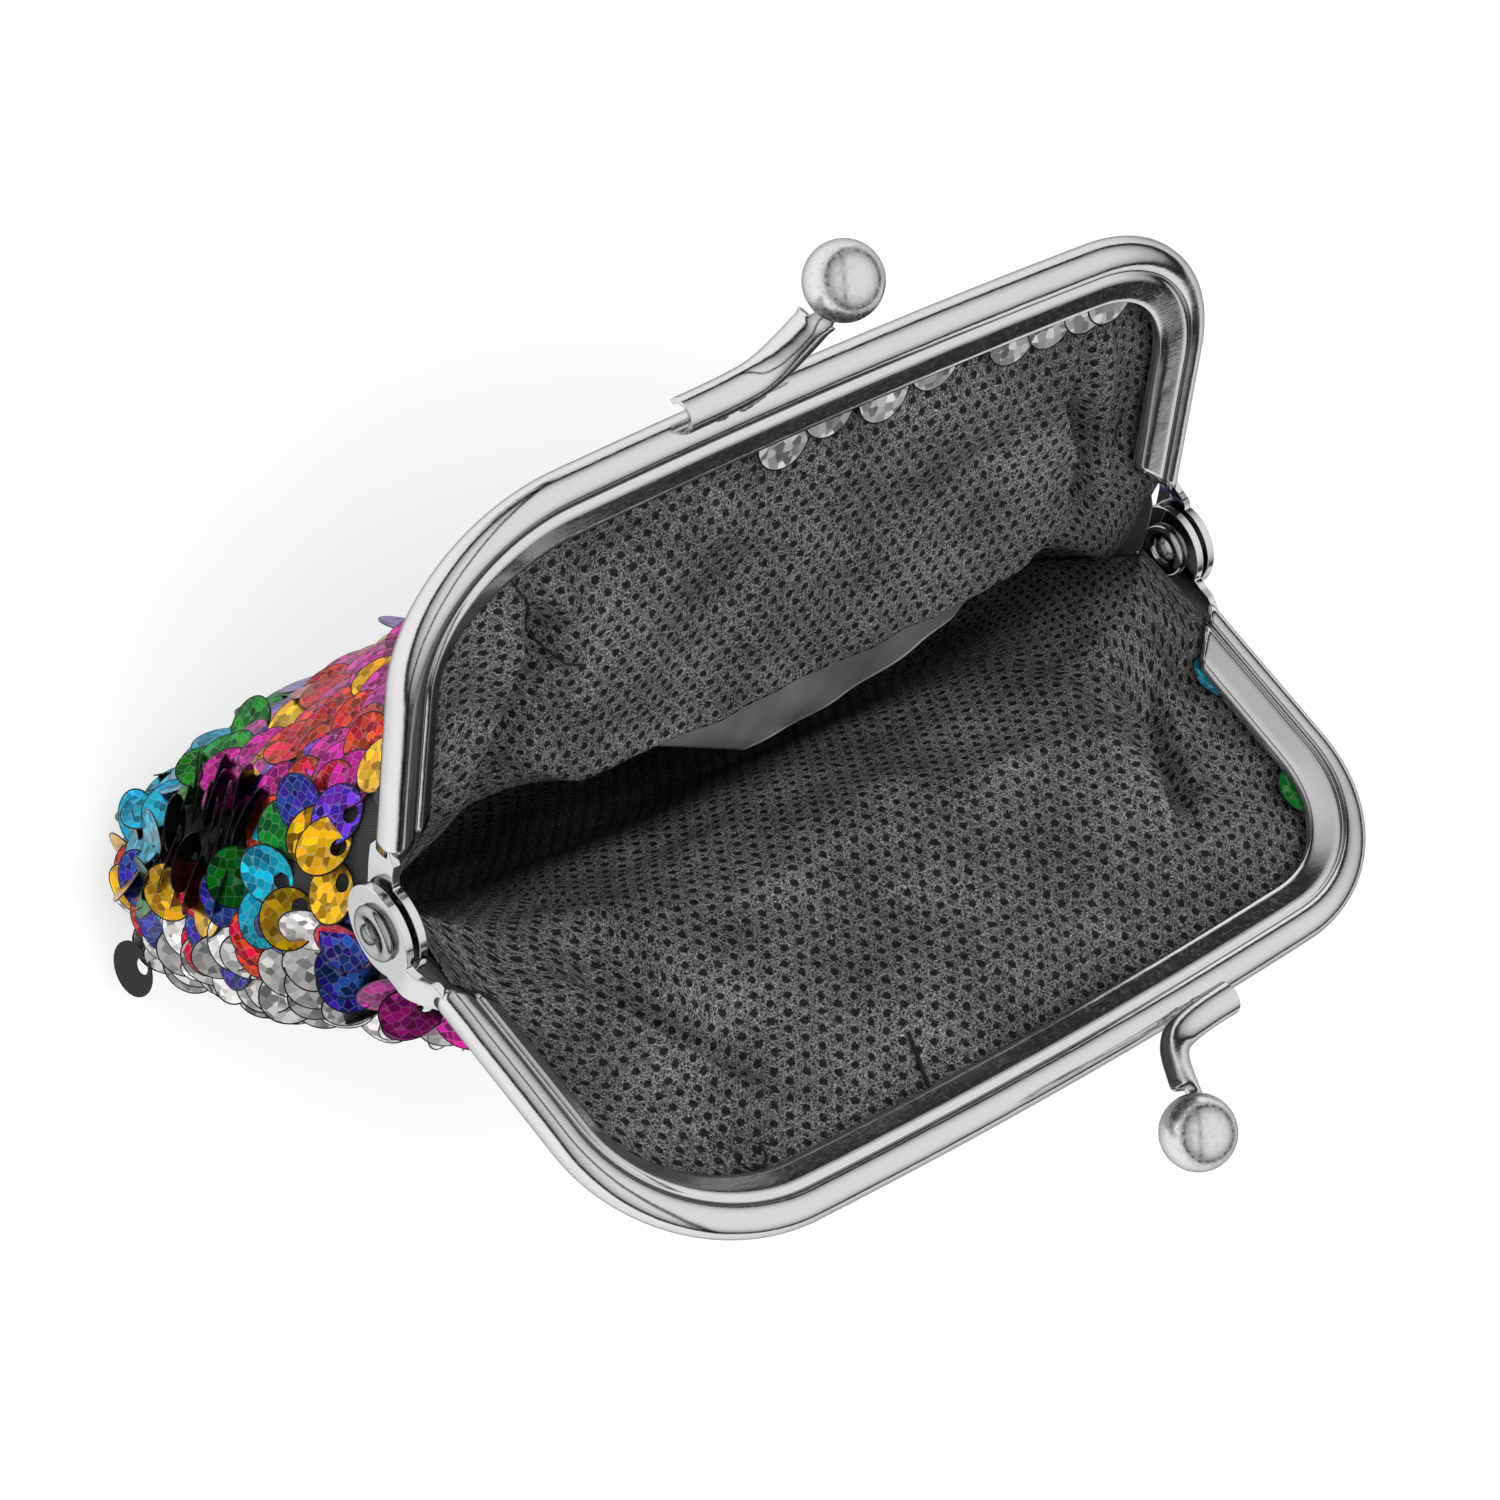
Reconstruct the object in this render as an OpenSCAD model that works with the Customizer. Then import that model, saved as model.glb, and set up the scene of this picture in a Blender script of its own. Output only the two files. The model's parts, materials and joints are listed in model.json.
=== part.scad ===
// Small kiss-lock purse: two hinged U-shaped frame halves over a soft lined pouch.
// The pouch stands mouth up: X runs along the hinge axis, Y from front to back, Z up.
// The origin is on the ground under the middle of the hinge axis.

/* [Frame] */
// Half-width of the frame at the hinge, outside
leg_x = 42.2; // [36:0.1:48]
// How far each leg leans inwards, in degrees
leg_lean = 1.6; // [0:0.1:4]
// Height of the top bar above the hinge axis, at its middle
bar_rise = 37.8; // [32:0.1:44]
// Radius of the gentle arch of the top bar
bar_radius = 610; // [400:10:900]
// Outer radius of the frame's corners
corner_r = 15.5; // [11:0.1:18]
// Depth of the channel, from mating face to outer face
channel_t = 3.2; // [2.8:0.1:4]
// Width of the flange on the mating side
flange_w = 5.6; // [4.5:0.1:6.5]
// Width of the flange on the outer side
back_flange_w = 4.4; // [3.5:0.1:5]
// Thickness of the sheet metal
sheet_t = 0.7; // [0.5:0.05:0.9]
// Radius of the rolled outer edge
bead_r = 1.45; // [1.1:0.05:1.55]
// Gap from the middle plane to each mating face when closed
mating_gap = 0.15; // [0.1:0.05:0.4]

/* [Hinge] */
// Height of the hinge axis above the ground
hinge_z = 60; // [50:1:75]
// How far each half stands open from the middle plane, in degrees
open_angle = 51.5; // [30:0.5:55]
// Radius of the round ears
ear_r = 4; // [3.4:0.1:4.5]
// Thickness of an ear
ear_t = 0.8; // [0.6:0.1:1]
// Gap between the two ears on one rivet
ear_gap = 0.5; // [0.3:0.1:0.8]
// Outer radius of the rivet's tube
rivet_r = 1.6; // [1.3:0.05:1.8]
// Bore radius of the hollow rivet
rivet_bore_r = 1.15; // [0.9:0.05:1.2]
// Radius of the rivet's rolled rim
rivet_rim_r = 2.45; // [2.2:0.05:2.8]
// Radial clearance between rivet and ear
rivet_clearance = 0.05; // [0.02:0.01:0.09]

/* [Clasp] */
// Radius of the clasp ball
ball_r = 3.15; // [2.8:0.05:3.2]
// Wall thickness of the hollow ball
ball_wall = 0.4; // [0.3:0.05:0.6]
// Outer radius of the half-pipe arm
arm_r = 1.5; // [1.3:0.05:1.6]
// Sheet thickness of the arm
arm_t = 0.45; // [0.35:0.05:0.6]

/* [Pouch] */
// Thickness of the outer cloth with its sewn-on discs
cloth_t = 1.2; // [0.9:0.1:1.5]
// Thickness of the lining
lining_t = 0.6; // [0.4:0.1:0.8]
// Gap between outer cloth and lining
cloth_gap = 0.1; // [0.05:0.05:0.3]
// Half-depth of the pouch at its rim
rim_depth = 21; // [20.5:0.1:22]

/* [Trim] */
// Radius of a sequin
sequin_r = 2.6; // [2.2:0.1:2.8]
// Thickness of a sequin
sequin_t = 0.2; // [0.15:0.05:0.22]
// Radius of the hole in a sequin
sequin_hole_r = 0.75; // [0.5:0.05:0.9]
// Radius of the paper cord crimped into the channel
paper_cord_r = 0.75; // [0.6:0.05:0.8]

/* [Hidden] */

FINE = 96;
SMALL = 48;

// Outline of a half, in its own plane: [across, up from the hinge axis].
leg_up = [-sin(leg_lean), cos(leg_lean)];
leg_in = [-cos(leg_lean), -sin(leg_lean)];
bar_centre = [0, bar_rise - bar_radius];
corner_from = [leg_x, 0] + corner_r * leg_in - bar_centre;
corner_along = corner_from * leg_up;
leg_len = -corner_along + sqrt(corner_along * corner_along
    - corner_from * corner_from + pow(bar_radius - corner_r, 2));
corner_centre = [leg_x, 0] + corner_r * leg_in + leg_len * leg_up;
bar_half_angle = atan2(corner_centre.x, corner_centre.y - bar_centre.y);

// Where the folded channel begins on each leg
channel_start = 6.4;

// Planes of the two ears beside the leg's outer face, and how far the leg's web stands inside it
ear_mid = leg_x + 0.1;
web_inset = 0.2;
outer_ear_x = ear_mid + ear_gap / 2;
inner_ear_x = ear_mid - ear_gap / 2 - ear_t;

// Rivet ends, measured along the hinge axis
rim_t = 0.7;
rim_play = 0.1;
rivet_out_x = outer_ear_x + ear_t + rim_play;
rivet_in_x = inner_ear_x - rim_play;
bore_reach = leg_x + 5;

// Points [point, inward direction] along a half's outer edge, left leg to right leg
leg_steps = 4;
corner_steps = 6;
bar_steps = 8;
panel_start = 8;
leg_points = [for (i = [0:leg_steps - 1])
    [[leg_x, 0] + leg_up * (panel_start + (leg_len - panel_start) * i / leg_steps), leg_in]];
corner_points = [for (i = [0:corner_steps - 1])
    let (a = leg_lean + (90 - bar_half_angle - leg_lean) * i / corner_steps)
    [corner_centre + corner_r * [cos(a), sin(a)], -[cos(a), sin(a)]]];
bar_points = [for (i = [0:bar_steps])
    let (a = 90 - bar_half_angle + 2 * bar_half_angle * i / bar_steps)
    [bar_centre + bar_radius * [cos(a), sin(a)], -[cos(a), sin(a)]]];
right_points = concat(leg_points, corner_points);
left_points = [for (i = [len(right_points) - 1:-1:0])
    let (p = right_points[i]) [[-p[0].x, p[0].y], [-p[1].x, p[1].y]]];
edge_points = concat(right_points, bar_points, left_points);
edge_last = len(edge_points) - 1;

// Middle of the channel's depth
channel_mid = mating_gap + channel_t / 2;

// A point of a half's own plane turned to its open place, front half
function opened(x, v, n) = [x, -v * sin(open_angle) - n * cos(open_angle),
    hinge_z + v * cos(open_angle) - n * sin(open_angle)];
function inset(i, w, n) = let (p = edge_points[i][0] + w * edge_points[i][1]) [p.x, p.y, n];
function opened_inset(i, w, n) = let (p = inset(i, w, n)) opened(p.x, p.y, p.z);

// Skirt of a half: where its cloth ends, just inside the pouch's rim
skirt_w = 39;
skirt_depth = 14.8;
skirt_forward = 1.5;
skirt_drop = 1.6;
skirt_side_drop = 1.5;
function skirt(f, inward) = let (a = 180 * f)
    [(skirt_w - inward) * cos(a), -skirt_forward - (skirt_depth - inward) * sin(a),
     hinge_z - skirt_drop - skirt_side_drop * abs(cos(a))];

// One side of a half's cloth: in the channel, out of it, then down to the skirt
exit_w = 6.3;
cloth_w = 2.6;
bulge = 0.8;
fall_steps = 3;
function cloth_row(k, n, inward) = [for (i = [0:edge_last])
    let (out = opened_inset(i, exit_w, n), low = skirt(i / edge_last, inward), f = k / fall_steps)
    k < 0 ? opened_inset(i, cloth_w, n)
          : out + (low - out) * f + [0, -bulge * sin(180 * f) * sin(180 * i / edge_last), 0]];
function cloth_rows(n, inward) = [for (k = [-1:fall_steps]) each cloth_row(k, n, inward)];

// Pouch sections from the ground up: [height, half-width, half-depth, roundness], for a hinge at section_top
section_top = 60;
sections = [
    [0, 31, 6.2, 0.72],
    [1.2, 35, 8.6, 0.72],
    [4.5, 38.6, 10.4, 0.74],
    [12, 41.6, 12.8, 0.78],
    [24, 43.1, 15.4, 0.84],
    [36, 43.5, 17.8, 0.9],
    [48, 43.2, 19.8, 0.97],
    [57.5, 42.3, rim_depth, 1]];
ring_steps = 40;
rim_dip = 3.5;
function signed_pow(value, e) = sign(value) * pow(abs(value), e);
function section_point(s, k, inward, lift) =
    let (a = 360 * k / ring_steps, is_rim = s == len(sections) - 1, q = sections[s])
    [(q[1] - inward) * signed_pow(cos(a), q[3]), (q[2] - inward) * signed_pow(sin(a), q[3]),
     q[0] * hinge_z / section_top + lift - (is_rim ? rim_dip * pow(cos(a), 6) : 0)];
function ring(s, inward, lift) = [for (k = [0:ring_steps - 1]) section_point(s, k, inward, lift)];

// Closed shell between two stacks of rings, open at the top and closed at the bottom
module pouch_shell(outside, inside) {
    m = len(sections);
    n = ring_steps;
    floor_lift = inside - outside;
    outer = [for (s = [0:m - 1]) each ring(s, outside, s == m - 1 ? 0 : outside * (1 - s / m))];
    inner = [for (s = [0:m - 1]) each ring(s, inside,
        s == m - 1 ? 0 : outside * (1 - s / m) + floor_lift * (1 - s / m))];
    outer_sides = [for (s = [0:m - 2]) for (k = [0:n - 1]) let (j = (k + 1) % n)
        each [[s * n + k, (s + 1) * n + k, s * n + j], [s * n + j, (s + 1) * n + k, (s + 1) * n + j]]];
    inner_sides = [for (f = outer_sides) [f[0] + m * n, f[2] + m * n, f[1] + m * n]];
    rim = [for (k = [0:n - 1]) let (j = (k + 1) % n, a = (m - 1) * n, b = (2 * m - 1) * n)
        each [[a + k, b + k, a + j], [a + j, b + k, b + j]]];
    base = [[for (k = [0:n - 1]) k], [for (k = [n - 1:-1:0]) m * n + k]];
    polyhedron(concat(outer, inner), concat(outer_sides, inner_sides, rim, base), convexity = 6);
}

// Closed sheet between two equal grids of points, cols points to a row
module sheet(top, under, cols) {
    rows = len(top) / cols;
    total = len(top);
    cells = [for (r = [0:rows - 2]) for (c = [0:cols - 2]) [r * cols + c, r * cols + c + 1]];
    up = [for (q = cells) each [[q[0], q[1], q[0] + cols], [q[1], q[1] + cols, q[0] + cols]]];
    down = [for (f = up) [f[0] + total, f[2] + total, f[1] + total]];
    rim = concat([for (c = [0:cols - 1]) c],
        [for (r = [1:rows - 1]) r * cols + cols - 1],
        [for (c = [cols - 2:-1:0]) (rows - 1) * cols + c],
        [for (r = [rows - 2:-1:1]) r * cols]);
    edges = [for (i = [0:len(rim) - 1]) let (a = rim[i], b = rim[(i + 1) % len(rim)])
        each [[a, a + total, b], [b, a + total, b + total]]];
    polyhedron(concat(top, under), concat(up, down, edges), convexity = 6);
}

// Closed tube of any section swept along a list of points
function unit(v) = v / norm(v);
function heading(path, i) = unit(path[min(i + 1, len(path) - 1)] - path[max(i - 1, 0)]);
module sweep(path, section, up) {
    n = len(section);
    m = len(path);
    points = [for (i = [0:m - 1])
        let (t = heading(path, i), side = unit(cross(t, up)), rise = cross(side, t))
        for (q = section) path[i] + q.x * side + q.y * rise];
    sides = [for (i = [0:m - 2]) for (k = [0:n - 1]) let (j = (k + 1) % n)
        each [[i * n + k, i * n + j, (i + 1) * n + k], [i * n + j, (i + 1) * n + j, (i + 1) * n + k]]];
    ends = [[for (k = [n - 1:-1:0]) k], [for (k = [0:n - 1]) (m - 1) * n + k]];
    polyhedron(points, concat(sides, ends), convexity = 6);
}

// Turns a half's own plane to its open place: 1 is the front half, -1 the back half
module placed(side) {
    rotate([0, 0, side > 0 ? 0 : 180]) translate([0, 0, hinge_z]) rotate([90 + open_angle, 0, 0]) children();
}

// Legs and bar run into the corners by this much, with walls this much thinner each side
join_len = 0.3;
join_step = 0.02;

// Section of the folded channel: x runs inwards from the outer edge, y from the mating face
module channel_section(shrink) {
    half_t = channel_t / 2;
    difference() {
        union() {
            translate([shrink, bead_r]) square([bead_r, channel_t - 2 * bead_r]);
            translate([bead_r, bead_r]) circle(bead_r - shrink, $fn = SMALL);
            translate([bead_r, channel_t - bead_r]) circle(bead_r - shrink, $fn = SMALL);
            translate([bead_r, shrink]) square([flange_w - shrink - bead_r, half_t]);
            translate([bead_r, half_t - shrink]) square([back_flange_w - shrink - bead_r, half_t]);
        }
        translate([sheet_t - shrink, sheet_t - shrink])
            square([flange_w, channel_t - 2 * (sheet_t - shrink)]);
    }
}

// The channel's section swept round an arc of radius r
module arc_channel(r, from, sweep_angle, shrink) {
    rotate([0, 0, from]) rotate_extrude(angle = sweep_angle, $fn = FINE)
        translate([r, mating_gap]) mirror([1, 0]) channel_section(shrink);
}

// Rounded corner of the right side
module corner_channel() {
    translate([corner_centre.x, corner_centre.y, 0])
        arc_channel(corner_r, leg_lean, 90 - bar_half_angle - leg_lean, 0);
}

// Gently arched top bar
module bar_channel() {
    half = bar_half_angle + join_len / bar_radius * 180 / PI;
    translate([bar_centre.x, bar_centre.y, 0]) arc_channel(bar_radius, 90 - half, 2 * half, join_step);
}

// Straight channel of the right leg, cut at a slope where it ends above the ear
module leg_channel() {
    reach = flange_w + 4;
    past = 1;
    difference() {
        translate([leg_x, 0, 0]) rotate([0, 0, leg_lean]) rotate([-90, 0, 0])
            linear_extrude(leg_len + join_len) rotate(180) translate([0, mating_gap])
            channel_section(join_step);
        translate([0, 0, -past]) linear_extrude(channel_t + 2 * past) polygon([
            [leg_x + past, -past], [leg_x + past, channel_start], [leg_x - past, channel_start],
            [leg_x - past - reach, channel_start + reach], [leg_x - past - reach, -past]]);
    }
}

// Flat tongue stepped from the leg's web to its round ear; ear_x is the ear's lower face in X
module ear(ear_x) {
    web_x = leg_x - web_inset - sheet_t;
    tongue_w = channel_t - web_inset;
    tongue_overlap = 3;
    step_from = ear_r + 0.2;
    step_to = channel_start + 0.4;
    translate([0, 0, mating_gap]) linear_extrude(tongue_w) polygon([
        [ear_x, 0], [ear_x + ear_t, 0], [ear_x + ear_t, step_from], [web_x + sheet_t, step_to],
        [web_x + sheet_t, step_to + tongue_overlap], [web_x, step_to + tongue_overlap],
        [web_x, step_to], [ear_x, step_from]]);
    translate([ear_x, 0, 0]) rotate([0, 90, 0]) cylinder(ear_t, r = ear_r, $fn = FINE);
}

// One folded frame half with an outer ear on its left and an inner ear on its right
module frame_half() {
    color("silver") difference() {
        union() {
            leg_channel();
            mirror([1, 0, 0]) leg_channel();
            corner_channel();
            mirror([1, 0, 0]) corner_channel();
            bar_channel();
            ear(inner_ear_x);
            mirror([1, 0, 0]) ear(outer_ear_x);
        }
        translate([-bore_reach, 0, 0]) rotate([0, 90, 0])
            cylinder(2 * bore_reach, r = rivet_r + rivet_clearance, $fn = FINE);
    }
}

// Route of the clasp arm's centre line in a half's own plane
arm_route = [[15.9, 38.15, 1.6], [13.2, 38.25, 1.6], [10.6, 38.55, 1.5], [8.8, 39.1, 1.3],
    [7.5, 40.1, 1], [6.5, 41.4, 0.6], [5.6, 42.9, 0.1], [4.9, 44.2, -0.3]];
ball_at = [3.3, 47.4, -1];
arm_facing = [0, 0.75, -0.65];
stem_r = 0.9;
stem_len = 5.2;

// Half-pipe section of the clasp arm, open side down
arm_arc_steps = 8;
arm_section = concat(
    [for (i = [0:arm_arc_steps]) let (a = 180 * i / arm_arc_steps) arm_r * [cos(a), sin(a)]],
    [for (i = [arm_arc_steps:-1:0]) let (a = 180 * i / arm_arc_steps) (arm_r - arm_t) * [cos(a), sin(a)]]);

// Direction from the ball back to the arm's tip
arm_tip = arm_route[len(arm_route) - 1];
to_arm = unit(arm_tip - ball_at);

// Bent half-pipe arm, welded along the top bar
module clasp_arm() {
    color("silver") sweep(arm_route, arm_section, arm_facing);
}

// Hollow ball on a short stem that is held in the arm's curled tip
module clasp_ball() {
    color("silver") translate(ball_at) {
        difference() {
            sphere(ball_r, $fn = FINE);
            sphere(ball_r - ball_wall, $fn = FINE);
        }
        rotate([0, acos(to_arm.z), atan2(to_arm.y, to_arm.x)])
            translate([0, 0, ball_r - ball_wall / 2])
            cylinder(stem_len - ball_r, r = stem_r, $fn = SMALL);
    }
}

// Twisted paper cord that wedges the cloth into the channel
module paper_cord() {
    cord_play = 0.1;
    cord_sides = 8;
    cord_w = sheet_t + paper_cord_r + cord_play;
    round_section = [for (i = [0:cord_sides - 1]) let (a = 360 * i / cord_sides)
        paper_cord_r * [cos(a), sin(a)]];
    color("tan") sweep([for (i = [0:edge_last]) inset(i, cord_w, channel_mid)], round_section, [0, 0, 1]);
}

// Sequins caught under the mating flange: places are steps along the outline
module hem_sequins(places) {
    peek_w = 5.2;
    play = 0.03;
    hole_offset = 0.45 * sequin_r;
    cut = 1;
    color("gainsboro") for (place = places)
        let (i = floor(place), f = place - i, p = inset(i, peek_w, 0), q = inset(i + 1, peek_w, 0))
        translate([p.x + (q.x - p.x) * f, p.y + (q.y - p.y) * f, mating_gap + sheet_t + play])
        difference() {
            cylinder(sequin_t, r = sequin_r, $fn = SMALL);
            translate([0, hole_offset, -cut]) cylinder(sequin_t + 2 * cut, r = sequin_hole_r, $fn = SMALL);
        }
}

// Depths of the two cloths within the channel, and the air between neighbouring layers
layer_gap = 0.1;
lining_n = mating_gap + sheet_t + sequin_t + layer_gap;
lining_sheet_t = 0.35;
outer_sheet_n = lining_n + lining_sheet_t + layer_gap;
outer_sheet_t = 0.6;
cloth_skirt_gap = 1.2;

// Cloth of one half above the hinge line, between depths n and n + t in the channel
module cloth_panel(n, t, inward) {
    side_inward = inward + t + 2 * layer_gap;
    sheet(cloth_rows(n, side_inward), cloth_rows(n + t, inward), edge_last + 1);
}

// A half's cloth is worked out in its open place, so the back one only turns about Z
module cloth_placed(side) {
    rotate([0, 0, side > 0 ? 0 : 180]) children();
}

// Tubular rivet with a rolled rim at each end, on the right; it lies along X
module rivet() {
    rim_roll = rim_t / 2;
    length = rivet_out_x - rivet_in_x;
    color("dimgray") translate([rivet_in_x, 0, hinge_z]) rotate([0, 90, 0]) rotate_extrude($fn = FINE)
        union() {
            translate([rivet_bore_r, -rim_roll]) square([rivet_r - rivet_bore_r, length + 2 * rim_roll]);
            for (y = [-rim_roll, length + rim_roll]) {
                translate([rivet_bore_r, y - rim_roll])
                    square([rivet_rim_r - rim_roll - rivet_bore_r, rim_t]);
                translate([rivet_rim_r - rim_roll, y]) circle(rim_roll, $fn = SMALL);
            }
        }
}

module outer_shell() {
    color("black") pouch_shell(0, cloth_t);
}

module lining() {
    color("dimgray") pouch_shell(cloth_t + cloth_gap, cloth_t + cloth_gap + lining_t);
}

// Blank label standing off the back lining
module inner_label() {
    label_w = 26;
    label_h = 22;
    label_t = 0.3;
    label_tilt = 6;
    label_at = [4, 9.4, hinge_z - 32];
    color("gray") translate(label_at) rotate([-label_tilt, 0, 0])
        translate([-label_w / 2, 0, 0]) cube([label_w, label_t, label_h]);
}

module left_rivet() {
    mirror([1, 0, 0]) rivet();
}

module right_rivet() {
    rivet();
}

module front_frame() {
    placed(1) frame_half();
}

module front_clasp_arm() {
    placed(1) clasp_arm();
}

module front_clasp_ball() {
    placed(1) clasp_ball();
}

module front_paper_cord() {
    placed(1) paper_cord();
}

module front_outer_panel() {
    color("black") cloth_placed(1) cloth_panel(outer_sheet_n, outer_sheet_t, 0);
}

module front_lining_panel() {
    color("dimgray") cloth_placed(1) cloth_panel(lining_n, lining_sheet_t, cloth_skirt_gap);
}

module front_hem_sequins() {
    placed(1) hem_sequins([2.1, 5.6]);
}

module back_frame() {
    placed(-1) frame_half();
}

module back_clasp_arm() {
    placed(-1) clasp_arm();
}

module back_clasp_ball() {
    placed(-1) clasp_ball();
}

module back_paper_cord() {
    placed(-1) paper_cord();
}

module back_outer_panel() {
    color("black") cloth_placed(-1) cloth_panel(outer_sheet_n, outer_sheet_t, 0);
}

module back_lining_panel() {
    color("dimgray") cloth_placed(-1) cloth_panel(lining_n, lining_sheet_t, cloth_skirt_gap);
}

module back_hem_sequins() {
    placed(-1) hem_sequins([9.2, 11.2, 12.6, 14.1, 16.4, 17.9]);
}

outer_shell();
lining();
inner_label();
left_rivet();
right_rivet();
front_frame();
front_clasp_arm();
front_clasp_ball();
front_paper_cord();
front_outer_panel();
front_lining_panel();
front_hem_sequins();
back_frame();
back_clasp_arm();
back_clasp_ball();
back_paper_cord();
back_outer_panel();
back_lining_panel();
back_hem_sequins();
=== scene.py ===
"""Looks of the small kiss-lock purse: chromed frame halves, gathered lining and flip sequins.

Lengths are millimetres; meshes are scaled to metres when they are made. A half's own plane has x across,
v up from the hinge axis and n from the mating face outwards.
"""

import json
import math

import bmesh
import bpy
import numpy as np
from mathutils import Matrix, Vector


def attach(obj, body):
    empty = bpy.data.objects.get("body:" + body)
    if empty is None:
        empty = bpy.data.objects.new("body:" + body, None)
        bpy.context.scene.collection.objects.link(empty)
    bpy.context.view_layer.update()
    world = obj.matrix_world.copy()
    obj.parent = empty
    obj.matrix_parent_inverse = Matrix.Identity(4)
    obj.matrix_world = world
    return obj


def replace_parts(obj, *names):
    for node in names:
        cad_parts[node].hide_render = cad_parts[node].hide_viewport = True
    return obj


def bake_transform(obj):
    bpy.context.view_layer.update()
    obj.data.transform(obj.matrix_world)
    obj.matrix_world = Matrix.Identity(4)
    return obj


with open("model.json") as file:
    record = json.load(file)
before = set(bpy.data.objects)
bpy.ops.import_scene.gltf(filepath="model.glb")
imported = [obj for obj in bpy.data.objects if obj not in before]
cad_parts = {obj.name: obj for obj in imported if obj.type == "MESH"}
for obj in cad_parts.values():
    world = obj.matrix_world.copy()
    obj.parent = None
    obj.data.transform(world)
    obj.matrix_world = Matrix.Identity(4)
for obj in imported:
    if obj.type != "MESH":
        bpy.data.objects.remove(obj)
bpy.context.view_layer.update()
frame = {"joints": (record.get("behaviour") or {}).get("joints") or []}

MM = 0.001
FRONT = 1
BACK = -1
HALVES = {"front": FRONT, "back": BACK}
TURNED_BACK = np.array([-1, -1, 1])

# ---- driving sizes, as in the CAD model ----
LEG_X = 42.2
LEG_LEAN = math.radians(1.6)
BAR_RISE = 37.8
BAR_R = 610.0
CORNER_R = 15.5
CHANNEL_T = 3.2
SHEET_T = 0.7
MATING_GAP = 0.15
CHANNEL_START = 6.4
OPEN_ANGLE = math.radians(51.5)
HINGE_Z = float(frame["joints"][0]["pos_m"][2]) / MM
BALL_AT = np.array([3.3, 47.4, -1.0])
BALL_R = 3.15
EAR_R = 4.0
EAR_T = 0.8
EAR_GAP = 0.5
EAR_MIDDLE = LEG_X + 0.1
RIVET_R = 1.6

rng = np.random.default_rng(7)


# ---- camera ----
CAMERA_AIM = (-4.6, -0.5, 57.6)
CAMERA_DISTANCE = 325.0
CAMERA_AZIMUTH = math.radians(-111.76)
CAMERA_ELEVATION = math.radians(57.10)
CAMERA_ROLL = math.radians(89.51)
CAMERA_LENS = 93.9


def add_camera():
    """The photograph's view: from above on the left, rolled a quarter turn."""
    flat = math.cos(CAMERA_ELEVATION)
    back = Vector((math.sin(CAMERA_AZIMUTH) * flat, -math.cos(CAMERA_AZIMUTH) * flat,
                   math.sin(CAMERA_ELEVATION)))
    data = bpy.data.cameras.new("camera")
    data.sensor_width = 36
    data.lens = CAMERA_LENS
    data.clip_start = 0.01
    camera = bpy.data.objects.new("camera", data)
    place = (Vector(CAMERA_AIM) + back * CAMERA_DISTANCE) * MM
    turn = back.to_track_quat("Z", "Y").to_matrix() @ Matrix.Rotation(CAMERA_ROLL, 3, "Z")
    camera.matrix_world = Matrix.Translation(place) @ turn.to_4x4()
    bpy.context.scene.collection.objects.link(camera)
    bpy.context.scene.camera = camera


# ---- helpers ----
def smoothstep(x):
    x = np.clip(x, 0, 1)
    return x * x * (3 - 2 * x)


def unit(v):
    return v / np.linalg.norm(v)


def circle(count):
    """Cosines and sines of count angles round a circle."""
    a = np.linspace(0, 2 * math.pi, count, endpoint=False)
    return np.cos(a), np.sin(a)


def to_world(points, side):
    """Points of a half's own plane, turned to its open place."""
    p = np.asarray(points, float)
    x, v, n = p[..., 0], p[..., 1], p[..., 2]
    y = -v * math.sin(OPEN_ANGLE) - n * math.cos(OPEN_ANGLE)
    z = HINGE_Z + v * math.cos(OPEN_ANGLE) - n * math.sin(OPEN_ANGLE)
    return np.stack([side * x, side * y, z], -1)


def catmull(points, per_span):
    """A smooth curve through points, per_span samples to each span."""
    p = np.asarray(points, float)
    ends = np.concatenate([[2 * p[0] - p[1]], p, [2 * p[-1] - p[-2]]])
    out = []
    for i in range(len(p) - 1):
        a, b, c, d = ends[i:i + 4]
        t = np.linspace(0, 1, per_span, endpoint=False).reshape((-1,) + (1,) * (p.ndim - 1))
        out.append(0.5 * (2 * b + (c - a) * t + (2 * a - 5 * b + 4 * c - d) * t**2
                          + (3 * b - a - 3 * c + d) * t**3))
    out.append(p[-1:])
    return np.concatenate(out)


def make_mesh(name, points, faces, uvs=None, smooth=True, slots=None):
    """A mesh object from world points; uvs is one pair for each point, slots one index for each face."""
    mesh = bpy.data.meshes.new(name)
    mesh.from_pydata((np.asarray(points, float) * MM).tolist(), [], [list(map(int, f)) for f in faces])
    if uvs is not None:
        layer = mesh.uv_layers.new(name="UVMap")
        index = np.empty(len(mesh.loops), int)
        mesh.loops.foreach_get("vertex_index", index)
        layer.data.foreach_set("uv", np.asarray(uvs, np.float32)[index].ravel())
    if slots is not None:
        mesh.polygons.foreach_set("material_index", np.asarray(slots, np.int32))
    if smooth:
        mesh.polygons.foreach_set("use_smooth", np.ones(len(mesh.polygons), bool))
    mesh.update()
    outward = bmesh.new()
    outward.from_mesh(mesh)
    bmesh.ops.recalc_face_normals(outward, faces=outward.faces)
    outward.to_mesh(mesh)
    outward.free()
    piece = bpy.data.objects.new(name, mesh)
    bpy.context.scene.collection.objects.link(piece)
    return piece


def grid_faces(rows, cols, close_cols=False):
    """Quads of a grid of points stored row by row."""
    r, c = np.meshgrid(np.arange(rows - 1), np.arange(cols if close_cols else cols - 1), indexing="ij")
    after = (c + 1) % cols
    quads = np.stack([r * cols + c, r * cols + after, (r + 1) * cols + after, (r + 1) * cols + c], -1)
    return quads.reshape(-1, 4).tolist()


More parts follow.
